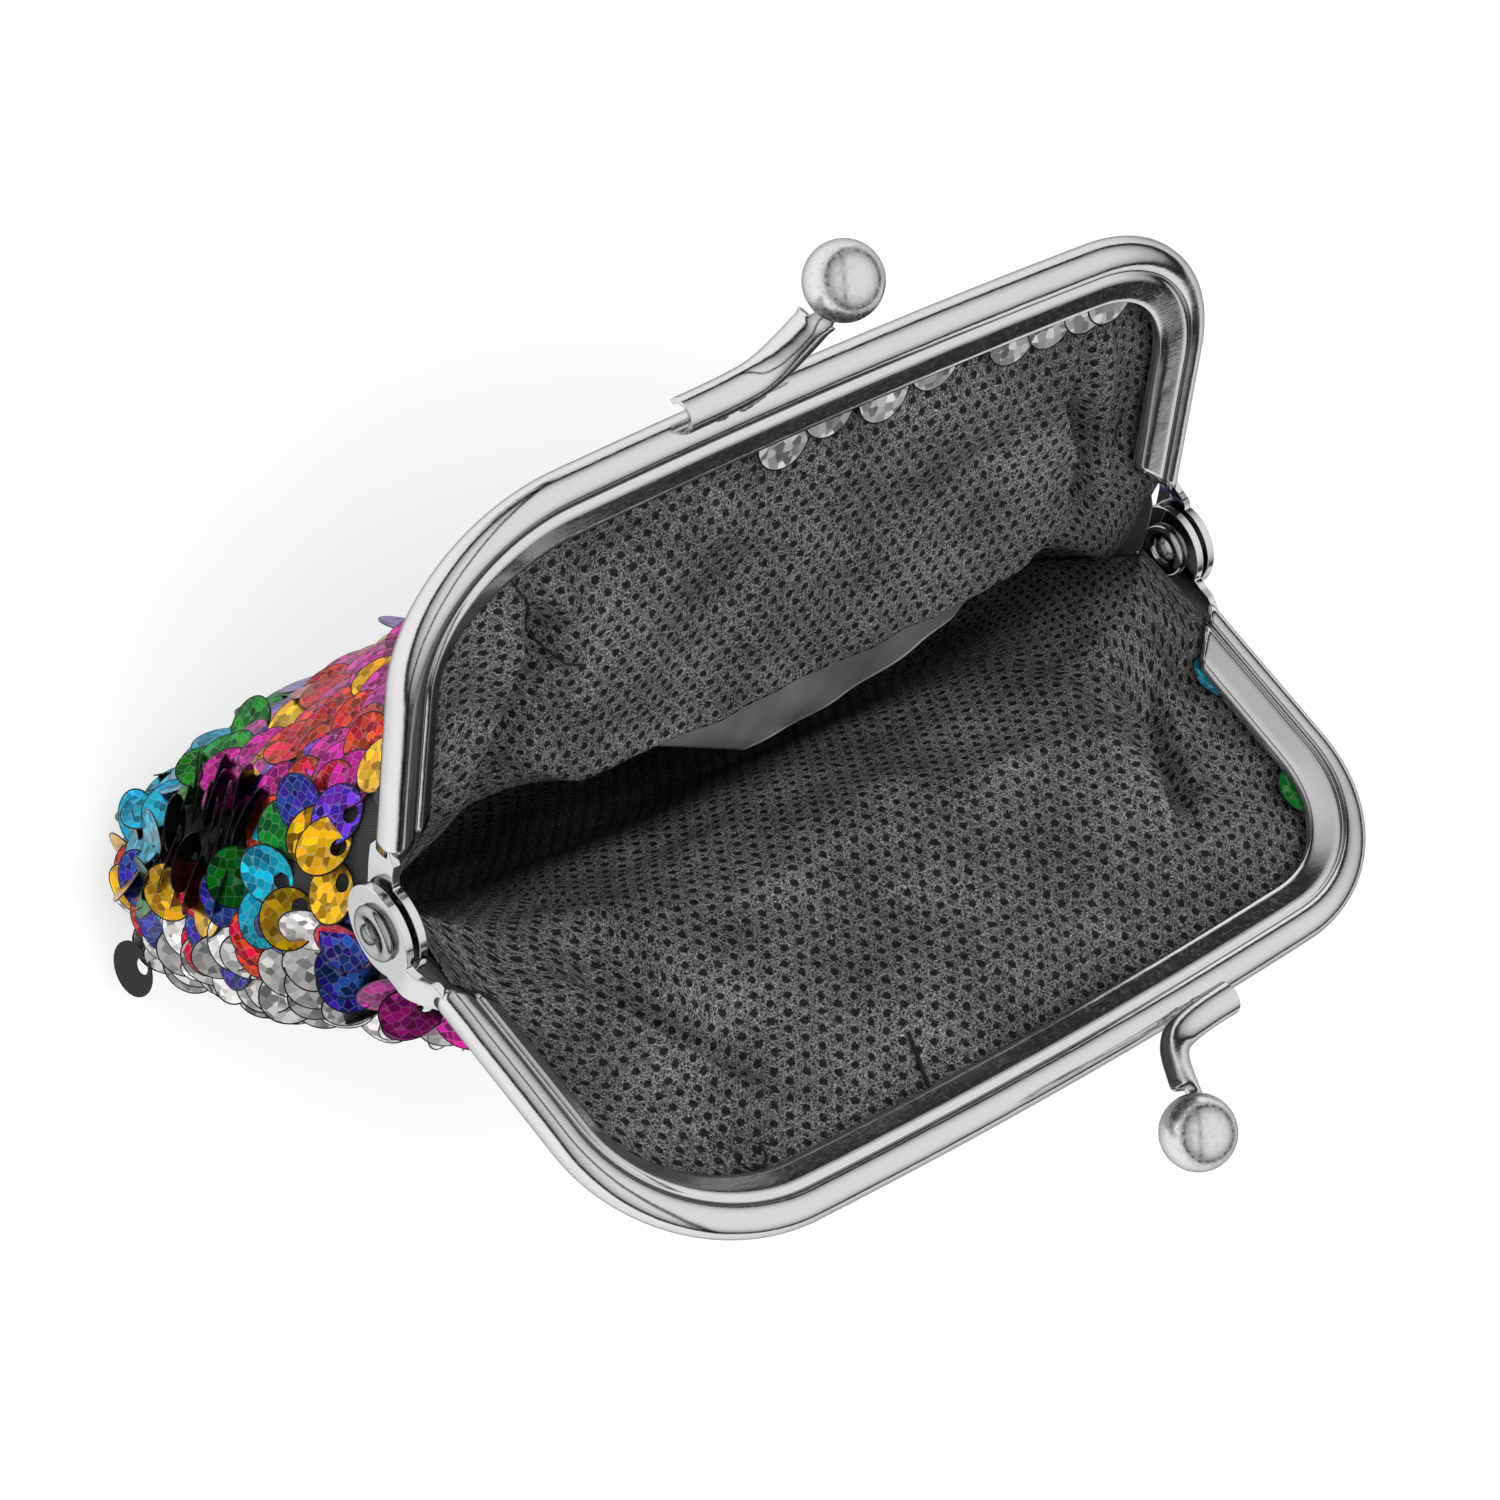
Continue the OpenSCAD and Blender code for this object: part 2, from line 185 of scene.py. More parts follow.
def closed_loft(rows):
    """Points and faces of rows of one closed section, capped at both ends."""
    points = np.array(rows)
    count, cols = points.shape[:2]
    caps = [list(range(cols)), list(range((count - 1) * cols, count * cols))[::-1]]
    return points.reshape(-1, 3), grid_faces(count, cols, close_cols=True) + caps


def finish_piece(piece, body, material):
    """Material and body of a piece that rides on one body."""
    piece.data.materials.append(material)
    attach(piece, body)
    return piece


def metal_piece(half, name, points, faces, material, slot="frame_chrome", bevel=None):
    """A piece of one half, from points in its own plane; bevel is a width and a number of segments."""
    piece = make_mesh(f"{half}_{name}", to_world(points, HALVES[half]), faces)
    if bevel:
        edge = piece.modifiers.new("edge", "BEVEL")
        edge.width = bevel[0] * MM
        edge.segments = bevel[1]
        edge.limit_method = "ANGLE"
        edge.angle_limit = math.radians(50)
        edge.harden_normals = True
    return finish_piece(piece, f"{half}_half", material)


def unpack(mesh):
    """Points and faces of a bmesh, which is then freed."""
    mesh.verts.index_update()
    points = np.array([v.co for v in mesh.verts])
    faces = [[v.index for v in f.verts] for f in mesh.faces]
    mesh.free()
    return points, faces


# ---- outline of a frame half ----
LEG_FOOT = np.array([LEG_X, 0])
LEG_UP = np.array([-math.sin(LEG_LEAN), math.cos(LEG_LEAN)])
LEG_IN = np.array([-math.cos(LEG_LEAN), -math.sin(LEG_LEAN)])
BAR_CENTRE = np.array([0, BAR_RISE - BAR_R])
# The leg ends where a corner arc inside it just touches the bar's arc
FROM_BAR = LEG_FOOT + CORNER_R * LEG_IN - BAR_CENTRE
ALONG_LEG = FROM_BAR @ LEG_UP
LEG_LEN = -ALONG_LEG + math.sqrt(ALONG_LEG**2 - FROM_BAR @ FROM_BAR + (BAR_R - CORNER_R) ** 2)
CORNER_CENTRE = LEG_FOOT + CORNER_R * LEG_IN + LEG_LEN * LEG_UP
BAR_HALF = math.atan2(CORNER_CENTRE[0], CORNER_CENTRE[1] - BAR_CENTRE[1])
CORNER_LEN = CORNER_R * (math.pi / 2 - BAR_HALF - LEG_LEAN)
HALF_LEN = LEG_LEN + CORNER_LEN + BAR_R * BAR_HALF
EDGE_LEN = 2 * HALF_LEN


def outline(s):
    """Outer edge of a half at length s from the right leg's foot: points and inward directions."""
    s = np.asarray(s, float)
    q = np.where(s > HALF_LEN, EDGE_LEN - s, s)
    a = LEG_LEAN + np.clip(q - LEG_LEN, 0, CORNER_LEN) / CORNER_R
    b = math.pi / 2 - BAR_HALF + np.clip(q - LEG_LEN - CORNER_LEN, 0, None) / BAR_R
    corner_out = np.stack([np.cos(a), np.sin(a)], -1)
    bar_out = np.stack([np.cos(b), np.sin(b)], -1)
    on_leg = (q < LEG_LEN)[..., None]
    on_corner = (q < LEG_LEN + CORNER_LEN)[..., None]
    past_leg = np.where(on_corner, CORNER_CENTRE + CORNER_R * corner_out, BAR_CENTRE + BAR_R * bar_out)
    point = np.where(on_leg, LEG_FOOT + q[..., None] * LEG_UP, past_leg)
    inward = np.where(on_leg, LEG_IN, np.where(on_corner, -corner_out, -bar_out))
    flip = np.stack([np.where(s > HALF_LEN, -1.0, 1.0), np.ones(q.shape)], -1)
    return point * flip, inward * flip


def inset_of(x, v):
    """Distance inwards from a half's outer edge, anywhere inside the outline."""
    q = np.abs(x)
    leg = (LEG_X - q) * math.cos(LEG_LEAN) - v * math.sin(LEG_LEAN)
    bar = BAR_R - np.hypot(q - BAR_CENTRE[0], v - BAR_CENTRE[1])
    dx, dv = q - CORNER_CENTRE[0], v - CORNER_CENTRE[1]
    return np.where((dx > 0) & (dv > 0), CORNER_R - np.hypot(dx, dv), np.minimum(leg, bar))


# The mating flange's width on the bar and on each half's wide and narrow leg, and its press-in there
BAR_FLANGE = 5.1
WIDE_FLANGE = 6.2
NARROW_FLANGE = 3.9
FRONT_BAR_DIP = 0.60
BACK_BAR_DIP = -0.10
NARROW_DIP = 0.6
WIDE_DIP = 0.4
WIDE_DIP_FROM = 0.72


def leg_share(s):
    """One on a leg, falling to nothing round the corner."""
    q = np.minimum(s, EDGE_LEN - s)
    return smoothstep((LEG_LEN + 0.8 * CORNER_LEN - q) / (0.8 * CORNER_LEN))


def on_wide_leg(side, s):
    return (s < HALF_LEN) == (side > 0)


def flange_width(side, s):
    """Width of the mating flange: each half has one wide leg and one narrow one."""
    leg = WIDE_FLANGE if on_wide_leg(side, s) else NARROW_FLANGE
    return BAR_FLANGE + (leg - BAR_FLANGE) * leg_share(s)


def flange_dip(side, s, f):
    """How far the flange is pressed in at part f of the way to its inner edge."""
    leg = leg_share(s)
    bar = (FRONT_BAR_DIP if side > 0 else BACK_BAR_DIP) * f
    down_leg = NARROW_DIP * f
    if on_wide_leg(side, s):
        down_leg = WIDE_DIP * (np.clip(f - WIDE_DIP_FROM, 0, None) / (1 - WIDE_DIP_FROM)) ** 2
    return bar * (1 - leg) + down_leg * leg


# ---- procedural materials ----
def plug(tree, socket, value):
    """Links an output to an input socket, or sets the input to a plain value."""
    if isinstance(value, bpy.types.NodeSocket):
        tree.links.new(value, socket)
    else:
        socket.default_value = value


def node(tree, kind, **settings):
    """A shader node; each setting is a property, or an input to set or link."""
    made = tree.nodes.new("ShaderNode" + kind)
    for key, value in settings.items():
        if key in made.inputs:
            plug(tree, made.inputs[key], value)
        else:
            setattr(made, key, value)
    return made


def ramp(tree, source, stops):
    """Colour ramp on a source socket; stops are (place, grey or colour)."""
    made = node(tree, "ValToRGB", Fac=source)
    elements = made.color_ramp.elements
    while len(elements) < len(stops):
        elements.new(0.5)
    for element, (place, colour) in zip(elements, stops):
        element.position = place
        element.color = (*colour, 1) if isinstance(colour, tuple) else (colour, colour, colour, 1)
    return made.outputs["Color"]


def calc(tree, operation, *values, kind="Math", output=0):
    """Result of a math node."""
    made = node(tree, kind, operation=operation)
    for socket, value in zip(made.inputs, values):
        plug(tree, socket, value)
    return made.outputs[output]


def vector_calc(tree, operation, *values):
    """Result of a vector math node; the length and the dot product are plain values."""
    output = "Value" if operation in ("LENGTH", "DOT_PRODUCT") else "Vector"
    return calc(tree, operation, *values, kind="VectorMath", output=output)


def jittered(tree, colour, amount):
    """A random colour as a vector of up to half of amount each way."""
    centred = vector_calc(tree, "SUBTRACT", colour, (0.5, 0.5, 0.5))
    return vector_calc(tree, "MULTIPLY", centred, (amount, amount, amount))


def noise(tree, place, scale, detail, roughness=0.5, output="Fac"):
    made = node(tree, "TexNoise", Vector=place, Scale=scale, Detail=detail, Roughness=roughness)
    return made.outputs[output]


def voronoi(tree, place, output, **settings):
    return node(tree, "TexVoronoi", **settings, Vector=place).outputs[output]


def bumped(tree, height, strength, distance, **under):
    """Normal of a bumped surface, over the normal of another bump where one is given."""
    return node(tree, "Bump", Strength=strength, Distance=distance, Height=height, **under).outputs["Normal"]


def make_material(name, recipe, *values):
    """A material; its recipe gives what goes into each socket of the Principled shader."""
    material = bpy.data.materials.new(name)
    material.use_nodes = True
    tree = material.node_tree
    for socket, value in recipe(tree, *values).items():
        plug(tree, tree.nodes["Principled BSDF"].inputs[socket], value)
    return material


def chrome(tree, tone, rough, dents, scratch):
    """Plated sheet steel: soft dents in the reflections, fine scratches and pits."""
    at = node(tree, "TexCoord").outputs["Object"]
    stretched = node(tree, "Mapping", Vector=at, Scale=(600.0, 9000.0, 4000.0)).outputs["Vector"]
    lines = calc(tree, "MULTIPLY", noise(tree, stretched, 1.0, 3.0, 0.7), scratch)
    pit = ramp(tree, voronoi(tree, at, "Distance", Scale=900.0), [(0.0, 0.0), (0.10, 1.0)])
    spots = ramp(tree, noise(tree, at, 420.0, 2.0), [(0.66, 0.0), (0.72, 1.0)])
    pits = calc(tree, "MULTIPLY", calc(tree, "SUBTRACT", 1.0, pit), spots)
    fine = bumped(tree, calc(tree, "SUBTRACT", lines, calc(tree, "MULTIPLY", pits, 0.6)), 0.25, 0.00004)
    return {"Metallic": 1,
            "Base Color": (tone, tone, tone * 1.01, 1),
            "Specular Tint": (0.3, 0.3, 0.3, 1),
            "Roughness": ramp(tree, noise(tree, at, 2600.0, 4.0, 0.6), [(0.42, rough), (0.7, rough * 2.6)]),
            "Normal": bumped(tree, noise(tree, at, 190.0, 2.0, 0.4), dents, 0.0006, Normal=fine)}


def mottled(tree, scale, detail, roughness, tones, roughs, strength):
    """Base colour, roughness and bump that all follow one noise."""
    grain = noise(tree, node(tree, "TexCoord").outputs["Object"], scale, detail, roughness)
    return {"Base Color": ramp(tree, grain, list(zip((0.3, 0.7), tones))),
            "Roughness": ramp(tree, grain, list(zip((0.3, 0.7), roughs))),
            "Normal": bumped(tree, grain, strength, 0.0001)}


def weld_metal(tree, tone, rough):
    """Dull metal of the weld drops."""
    return {"Metallic": 1, **mottled(tree, 1500.0, 5.0, 0.65, (tone * 0.55, tone * 1.2),
                                     (rough * 0.7, rough * 1.4), 0.5)}


def film(tree, tone, rough, gloss=0.5):
    """Smooth dark film or plastic with faint streaks."""
    return {"Specular IOR Level": gloss, **mottled(tree, 240.0, 4.0, 0.5, (tone * 0.8, tone * 1.25),
                                                   (rough * 0.85, rough * 1.2), 0.2)}


DOT_PITCH = 1.62
DOT_STRETCH = 1.55
# Layers of fibres between the dots: scale, width and seed
FIBRES = [(1.7, 0.085, 1), (1.25, 0.075, 5), (2.2, 0.09, 2), (2.9, 0.10, 3)]


def dot_distance(tree, place):
    """Distance in millimetres from the nearest bond point of a staggered lattice."""
    size = (DOT_PITCH, DOT_PITCH * DOT_STRETCH, 0)
    distances = []
    for shift in (0.0, 0.5):
        cell = node(tree, "Mapping", Vector=place, Location=(shift, shift, 0),
                    Scale=(1 / size[0], 1 / size[1], 1)).outputs["Vector"]
        cell = vector_calc(tree, "SUBTRACT", vector_calc(tree, "FRACTION", cell), (0.5, 0.5, 0))
        distances.append(vector_calc(tree, "LENGTH", vector_calc(tree, "MULTIPLY", cell, size)))
    return calc(tree, "MINIMUM", *distances)


def fibre_layer(tree, place, scale, width, seed):
    """Thin pale strands: the cell edges of a Voronoi pattern, wandering a little."""
    shifted = node(tree, "Mapping", Vector=place, Location=(seed * 3.7, seed * 1.9, 0),
                   Rotation=(0, 0, seed * 0.9), Scale=(1.0, 1.0 + 0.35 * math.sin(seed * 2.1), 1))
    strands = voronoi(tree, shifted.outputs["Vector"], "Distance", feature="DISTANCE_TO_EDGE", Scale=scale)
    return ramp(tree, strands, [(0.0, 1.0), (width, 0.0)])


def spunbond(tree):
    """Grey non-woven lining: fused dark bond points in a web of pale fibres."""
    uv = node(tree, "UVMap").outputs["UV"]
    wobble = jittered(tree, noise(tree, uv, 0.8, 3.0, output="Color"), 0.22)
    place = vector_calc(tree, "ADD", uv, wobble)
    ragged = calc(tree, "SUBTRACT", noise(tree, uv, 3.0, 3.0), 0.5)
    distance = calc(tree, "ADD", dot_distance(tree, place), calc(tree, "MULTIPLY", ragged, 0.35))
    dot = ramp(tree, distance, [(0.30, 1.0), (0.42, 0.0)])
    rim = ramp(tree, distance, [(0.28, 0.22), (0.42, 1.0), (0.70, 0.85)])
    web = fibre_layer(tree, place, *FIBRES[0])
    for layer in FIBRES[1:]:
        web = calc(tree, "MAXIMUM", web, fibre_layer(tree, place, *layer))
    patchy = ramp(tree, noise(tree, uv, 5.0, 6.0, 0.8), [(0.38, 0.10), (0.60, 1.0)])
    fibre = calc(tree, "MULTIPLY", calc(tree, "MULTIPLY", web, patchy), rim)
    haze = calc(tree, "MULTIPLY", rim, 0.11)
    cloudy = ramp(tree, noise(tree, uv, 0.10, 4.0), [(0.3, 0.6), (0.7, 1.0)])
    light = calc(tree, "MULTIPLY", calc(tree, "MAXIMUM", fibre, haze), cloudy)
    height = calc(tree, "SUBTRACT", calc(tree, "MULTIPLY", fibre, 0.6), dot)
    return {"Base Color": ramp(tree, light, [(0.0, 0.003), (0.12, (0.022, 0.022, 0.023)),
                                             (0.5, (0.30, 0.30, 0.305)), (1.0, (0.98, 0.98, 0.99))]),
            "Roughness": ramp(tree, dot, [(0.0, 0.95), (1.0, 0.6)]),
            "Specular IOR Level": 0.05,
            "Normal": bumped(tree, height, 0.8, 0.00018)}


def knit(tree, dark, pale):
    """Black base knit: fine ribs with matt fuzz."""
    uv = node(tree, "UVMap").outputs["UV"]
    ribs = node(tree, "TexWave", Vector=uv, Scale=1.3, Distortion=1.2, Detail=2.0).outputs["Fac"]
    mixed = calc(tree, "MULTIPLY", ribs, noise(tree, uv, 6.0, 5.0))
    return {"Base Color": ramp(tree, mixed, [(0.0, dark), (0.7, pale)]),
            "Roughness": 0.9,
            "Sheen Weight": 0.2,
            "Normal": bumped(tree, mixed, 0.7, 0.0002)}


def foil(tree, colour, sparkle, hue_play, glints):
    """Foil under clear film: small cells that each tilt and tint the reflection a little."""
    uv = node(tree, "UVMap").outputs["UV"]
    cell = {"Scale": 1.25, "Randomness": 0.55}
    cells = voronoi(tree, uv, "Color", **cell)
    split = node(tree, "SeparateColor", Color=cells).outputs
    hue = ramp(tree, split["Red"], [(0.0, 0.5 - hue_play), (1.0, 0.5 + hue_play)])
    value = ramp(tree, split["Green"], [(0.0, 0.30), (0.5, 0.85), (0.8, 1.15), (1.0, 1.15 + glints)])
    tinted = node(tree, "HueSaturation", Color=(*colour, 1), Hue=hue, Value=value).outputs["Color"]
    edge = voronoi(tree, uv, "Distance", feature="DISTANCE_TO_EDGE", **cell)
    seam = calc(tree, "MULTIPLY", ramp(tree, edge, [(0.02, 1.0), (0.07, 0.0)]), 0.35)
    pale = tuple(min(1, c * 0.6 + 0.25) for c in colour) + (1,)
    mixed = node(tree, "Mix", data_type="RGBA", Factor=seam, A=tinted, B=pale)
    normal = node(tree, "NewGeometry").outputs["Normal"]
    tilted = vector_calc(tree, "ADD", normal, jittered(tree, cells, sparkle))
    return {"Base Color": mixed.outputs["Result"],
            "Metallic": 0.92,
            "Roughness": 0.30,
            "Normal": vector_calc(tree, "NORMALIZE", tilted)}


CHROME = make_material("frame_chrome", chrome, 0.68, 0.06, 0.12, 0.6)
BALL_CHROME = make_material("ball_chrome", chrome, 0.70, 0.19, 0.05, 0.4)
RIVET_METAL = make_material("rivet_chrome", chrome, 0.42, 0.10, 0.12, 0.5)
WELD_METAL = make_material("weld", weld_metal, 0.45, 0.32)
LINING = make_material("lining_nonwoven", spunbond)
BASE_CLOTH = make_material("black_knit", knit, 0.002, 0.02)
LABEL_FILM = make_material("label_film", film, 0.11, 0.5)
# Paler film on the label's last strip and cut edge: a painted highlight along the edge.
LABEL_EDGE_HIGHLIGHT = make_material("label_cut_edge_highlight", film, 0.45, 0.6)
THREAD = make_material("black_thread", film, 0.006, 0.8)
PAPER = make_material("paper_string", film, 0.4, 0.9)
# Dark back film of the sequins; it also paints the shade on a band round each disc's top edge.
SEQUIN_BACK_AND_RIM_SHADE = make_material("sequin_back", film, 0.004, 0.22, 0.2)
SEQUINS = {name: make_material(f"sequin_{name}", foil, *look) for name, look in {
    "foil": ((0.72, 0.71, 0.70), 0.18, 0.10, 0.3),
    "magenta": ((0.40, 0.005, 0.22), 0.14, 0.02, 0.8),
    "violet": ((0.09, 0.015, 0.38), 0.14, 0.03, 0.9),
    "blue": ((0.008, 0.02, 0.24), 0.14, 0.03, 0.9),
    "cyan": ((0.00, 0.30, 0.46), 0.14, 0.02, 0.7),
    "green": ((0.00, 0.16, 0.012), 0.14, 0.02, 0.9),
    "gold": ((0.70, 0.38, 0.00), 0.14, 0.02, 0.5),
    "red": ((0.46, 0.00, 0.00), 0.14, 0.02, 0.8)}.items()}


# ---- frame halves ----
BEAD_R = 1.45
LOOP_W = 5.6
FLAT_W = 2.6
BACK_WIDTH = 4.4


def channel_loop():
    """Closed section of the folded channel as (w, n), with a flange as wide as LOOP_W."""
    edge = SHEET_T / 2

    def arc(cx, cy, r, a0, a1, count):
        a = np.radians(np.linspace(a0, a1, count))
        return np.stack([cx + r * np.cos(a), cy + r * np.sin(a)], -1)

    inner = BEAD_R - SHEET_T
    top = CHANNEL_T
    parts = [
        arc(LOOP_W - edge, edge, edge, 90, -90, 7),
        [[4.9, 0], [4.5, 0], [4.1, 0], [3.7, 0], [3.3, 0], [2.95, 0.01], [2.7, 0.09], [2.48, 0.30],
         [2.34, 0.42], [2.24, 0.36]],
        arc(BEAD_R, BEAD_R, BEAD_R, -58, -180, 22),
        arc(BEAD_R, top - BEAD_R, BEAD_R, -180, -270, 16),
        [[2.4, top], [3.4, top]],
        arc(BACK_WIDTH - edge, top - edge, edge, 90, -90, 7),
        [[3.2, top - SHEET_T], [2.4, top - SHEET_T]],
        arc(BEAD_R, top - BEAD_R, inner, 90, 180, 6),
        arc(BEAD_R, BEAD_R, inner, 180, 270, 6),
        [[2.4, SHEET_T + 0.02], [3.3, SHEET_T], [4.1, SHEET_T], [4.9, SHEET_T]],
    ]
    return np.concatenate([np.asarray(p, float) for p in parts])


def frame_channel(half):
    """The folded channel of one half, with sloping cuts above the ears."""
    side = HALVES[half]
    loop = channel_loop()
    w0, n0 = loop[:, 0], loop[:, 1] + MATING_GAP
    f = np.clip((w0 - FLAT_W) / (LOOP_W - FLAT_W), 0, None)
    dense = np.concatenate([
        np.linspace(CHANNEL_START, LEG_LEN, 16)[:-1],
        np.linspace(LEG_LEN, LEG_LEN + CORNER_LEN, 30)[:-1],
        np.linspace(LEG_LEN + CORNER_LEN, HALF_LEN, 26)[:-1]])
    rows = []
    for s in np.concatenate([dense, [HALF_LEN], EDGE_LEN - dense[::-1]]):
        w = np.where(w0 > FLAT_W, FLAT_W + f * (float(flange_width(side, s)) - FLAT_W), w0)
        dip = flange_dip(side, s, f) * (n0 < CHANNEL_T / 2)
        foot = CHANNEL_START + np.maximum(0, w - 0.9) * 0.95
        q = min(s, EDGE_LEN - s)
        up = (q - CHANNEL_START) / (LEG_LEN - CHANNEL_START)
        reach = foot * (1 - up) + LEG_LEN * up if q < LEG_LEN else np.full_like(w0, q)
        point, inward = outline(reach if s <= HALF_LEN else EDGE_LEN - reach)
        rows.append(np.column_stack([point + w[:, None] * inward, n0 + dip]))
    return metal_piece(half, "frame_channel", *closed_loft(rows), CHROME)


# The ear's tongue: its plain round part ends at the first height, its step up to the leg's web at the second
STEP_LOW = 4.1
STEP_HIGH = 7.1
TONGUE_TOP = 10.2


def frame_ear(half, at_right):
    """Round ear and stepped tongue, pierced for the rivet."""
    ear_x = EAR_MIDDLE - EAR_GAP / 2 - EAR_T if at_right else EAR_MIDDLE + EAR_GAP / 2
    web_x = LEG_X - 0.2 - SHEET_T
    low_n, high_n = 0.1, CHANNEL_T + 0.05
    start = math.atan2(math.sqrt(EAR_R**2 - high_n**2), high_n)
    stop = math.acos(-low_n / EAR_R)
    ring = [(EAR_R * math.cos(a), EAR_R * math.sin(a)) for a in np.linspace(start, stop - 2 * math.pi, 60)]
    ring += [(low_n, 5.0), (low_n, 6.2), (1.1, 7.6), (1.1, TONGUE_TOP)]
    ring += [(2.3, TONGUE_TOP), (2.3, 7.6), (high_n, 6.2), (high_n, 5.0), (high_n, 3.4)]
    bore = np.stack(circle(40), -1) * (RIVET_R + 0.05)
    mesh = bmesh.new()
    edges = []
    for loop in (ring, bore):
        verts = [mesh.verts.new((0, v, n)) for n, v in loop]
        edges += [mesh.edges.new((verts[i], verts[(i + 1) % len(verts)])) for i in range(len(verts))]
    bmesh.ops.triangle_fill(mesh, edges=edges, use_beauty=True)
    for level in np.linspace(STEP_LOW, STEP_HIGH, 9):
        bmesh.ops.bisect_plane(mesh, geom=mesh.verts[:] + mesh.edges[:] + mesh.faces[:],
                               plane_co=(0, level, 0), plane_no=(0, 1, 0))
    extruded = bmesh.ops.extrude_face_region(mesh, geom=mesh.faces[:])
    raised = {v for v in extruded["geom"] if isinstance(v, bmesh.types.BMVert)}
    for vert in mesh.verts:
        f = float(smoothstep((vert.co.y - STEP_LOW) / (STEP_HIGH - STEP_LOW)))
        web = web_x - vert.co.y * math.tan(LEG_LEAN) + 0.05
        thick = EAR_T * (1 - f) + SHEET_T * f if vert in raised else 0
        vert.co.x = ear_x * (1 - f) + web * f + thick
    bmesh.ops.recalc_face_normals(mesh, faces=mesh.faces)
    points, faces = unpack(mesh)
    if not at_right:
        points[:, 0] *= -1
    side_name = "right" if at_right == (half == "front") else "left"
    metal_piece(half, f"ear_{side_name}", points, faces, CHROME, bevel=(0.16, 3))


ARM_ROUTE = np.array([
    [15.9, 38.15, 1.6], [13.2, 38.25, 1.6], [10.6, 38.55, 1.5], [8.8, 39.1, 1.3],
    [7.5, 40.1, 1.0], [6.5, 41.4, 0.6], [5.6, 42.9, 0.1], [4.9, 44.2, -0.3]])
ARM_TIP = BALL_AT + (ARM_ROUTE[-1] - BALL_AT) * 0.72
ARM_FACING = np.array([0, 0.75, -0.65])
ARM_R = 1.5
ARM_T = 0.45


def clasp_arm(half):
    """Bent half-pipe; its sheet flattens near the tip and narrows to the tongue inside the ball."""
    route = catmull(np.concatenate([ARM_ROUTE, [ARM_TIP]]), 5)
    last = len(route) - 1
    rows = []
    for i, at in enumerate(route):
        ahead = unit(route[min(i + 1, last)] - route[max(i - 1, 0)])
        across = unit(np.cross(ahead, ARM_FACING))
        rise = np.cross(across, ahead)
        flat = smoothstep((7 - last + i) / 5)
        tongue = 1.0 if last - i > 4 else 0.55
        radius = ARM_R * (1 + 0.45 * flat)
        centre = -(radius - ARM_R) - 0.15 * flat
        angle = math.pi / 2 + np.linspace(-0.5, 0.5, 15) * math.radians(200 - 105 * flat) * tongue
        arc = np.stack([np.cos(angle), np.sin(angle)], -1)
        section = np.concatenate([radius * arc, (radius - ARM_T) * arc[::-1]]) + [0, centre]
        rows.append(at + section[:, :1] * across + section[:, 1:] * rise)
    return metal_piece(half, "arm", *closed_loft(rows), CHROME, bevel=(0.1, 2))


def weld_beads(half):
    """Small run of weld drops where the arm meets the bar."""
    mesh = bmesh.new()
    for i in range(9):
        x = 14.9 - 0.78 * i
        edge, _ = outline(HALF_LEN - x)
        place = Matrix.Translation((x, edge[1] - 0.28, 0.72 + 0.1 * math.sin(i * 1.7)))
        made = bmesh.ops.create_icosphere(mesh, subdivisions=2, radius=0.34 + 0.12 * math.sin(i * 2.3),
                                          matrix=place @ Matrix.Diagonal((1.7, 0.9, 0.8, 1)))
        for vert in made["verts"]:
            x, y, _ = vert.co
            vert.co += 0.05 * Vector((math.sin(y * 9 + i), math.sin(x * 7), math.cos(x * 8)))
    metal_piece(half, "weld", *unpack(mesh), WELD_METAL)


def lathe(profile, axis_from, axis, count):
    """Points and faces of a profile of (radius, height) turned round an axis."""
    axis = unit(np.asarray(axis, float))
    one = unit(np.cross(axis, (0, 0, 1.0) if abs(axis[2]) < 0.9 else (1.0, 0, 0)))
    two = np.cross(axis, one)
    cos, sin = circle(count)
    ring = cos[:, None] * one + sin[:, None] * two
    p = np.asarray(profile, float)
    points = np.asarray(axis_from) + p[:, None, :1] * ring[None] + p[:, None, 1:] * axis
    return points.reshape(-1, 3), grid_faces(len(p), count, close_cols=True)


BALL_MOUTH_R = 1.15


def clasp_ball(half):
    """Hollow ball pressed from sheet, with a turned-in mouth round the arm's tongue."""
    mouth = BALL_MOUTH_R
    open_angle = math.asin(mouth / BALL_R)
    profile = [(max(BALL_R * math.sin(t), 0.001), BALL_R * math.cos(t))
               for t in np.linspace(math.pi, open_angle, 48)]
    lip = BALL_R * math.cos(open_angle)
    profile += [(mouth - 0.06, lip + 0.05), (mouth - 0.2, lip + 0.02), (mouth - 0.28, lip - 0.15),
                (mouth - 0.3, lip - 0.7), (0.001, lip - 0.75)]
    points, faces = lathe(profile, BALL_AT, ARM_ROUTE[-1] - BALL_AT, 72)
    return metal_piece(half, "ball", points, faces, BALL_CHROME, slot="ball_chrome")


RIVET_BORE = 1.12
RIVET_RIM = 2.4
# Rolled rim of a rivet: how far out from the bore towards the rim's edge, and height over the shank's end
RIVET_ROLL = [
    (1.0, 0.02), (1.02, 0.16), (0.94, 0.38), (0.72, 0.56), (0.42, 0.62), (0.12, 0.52), (-0.18, 0.28)]


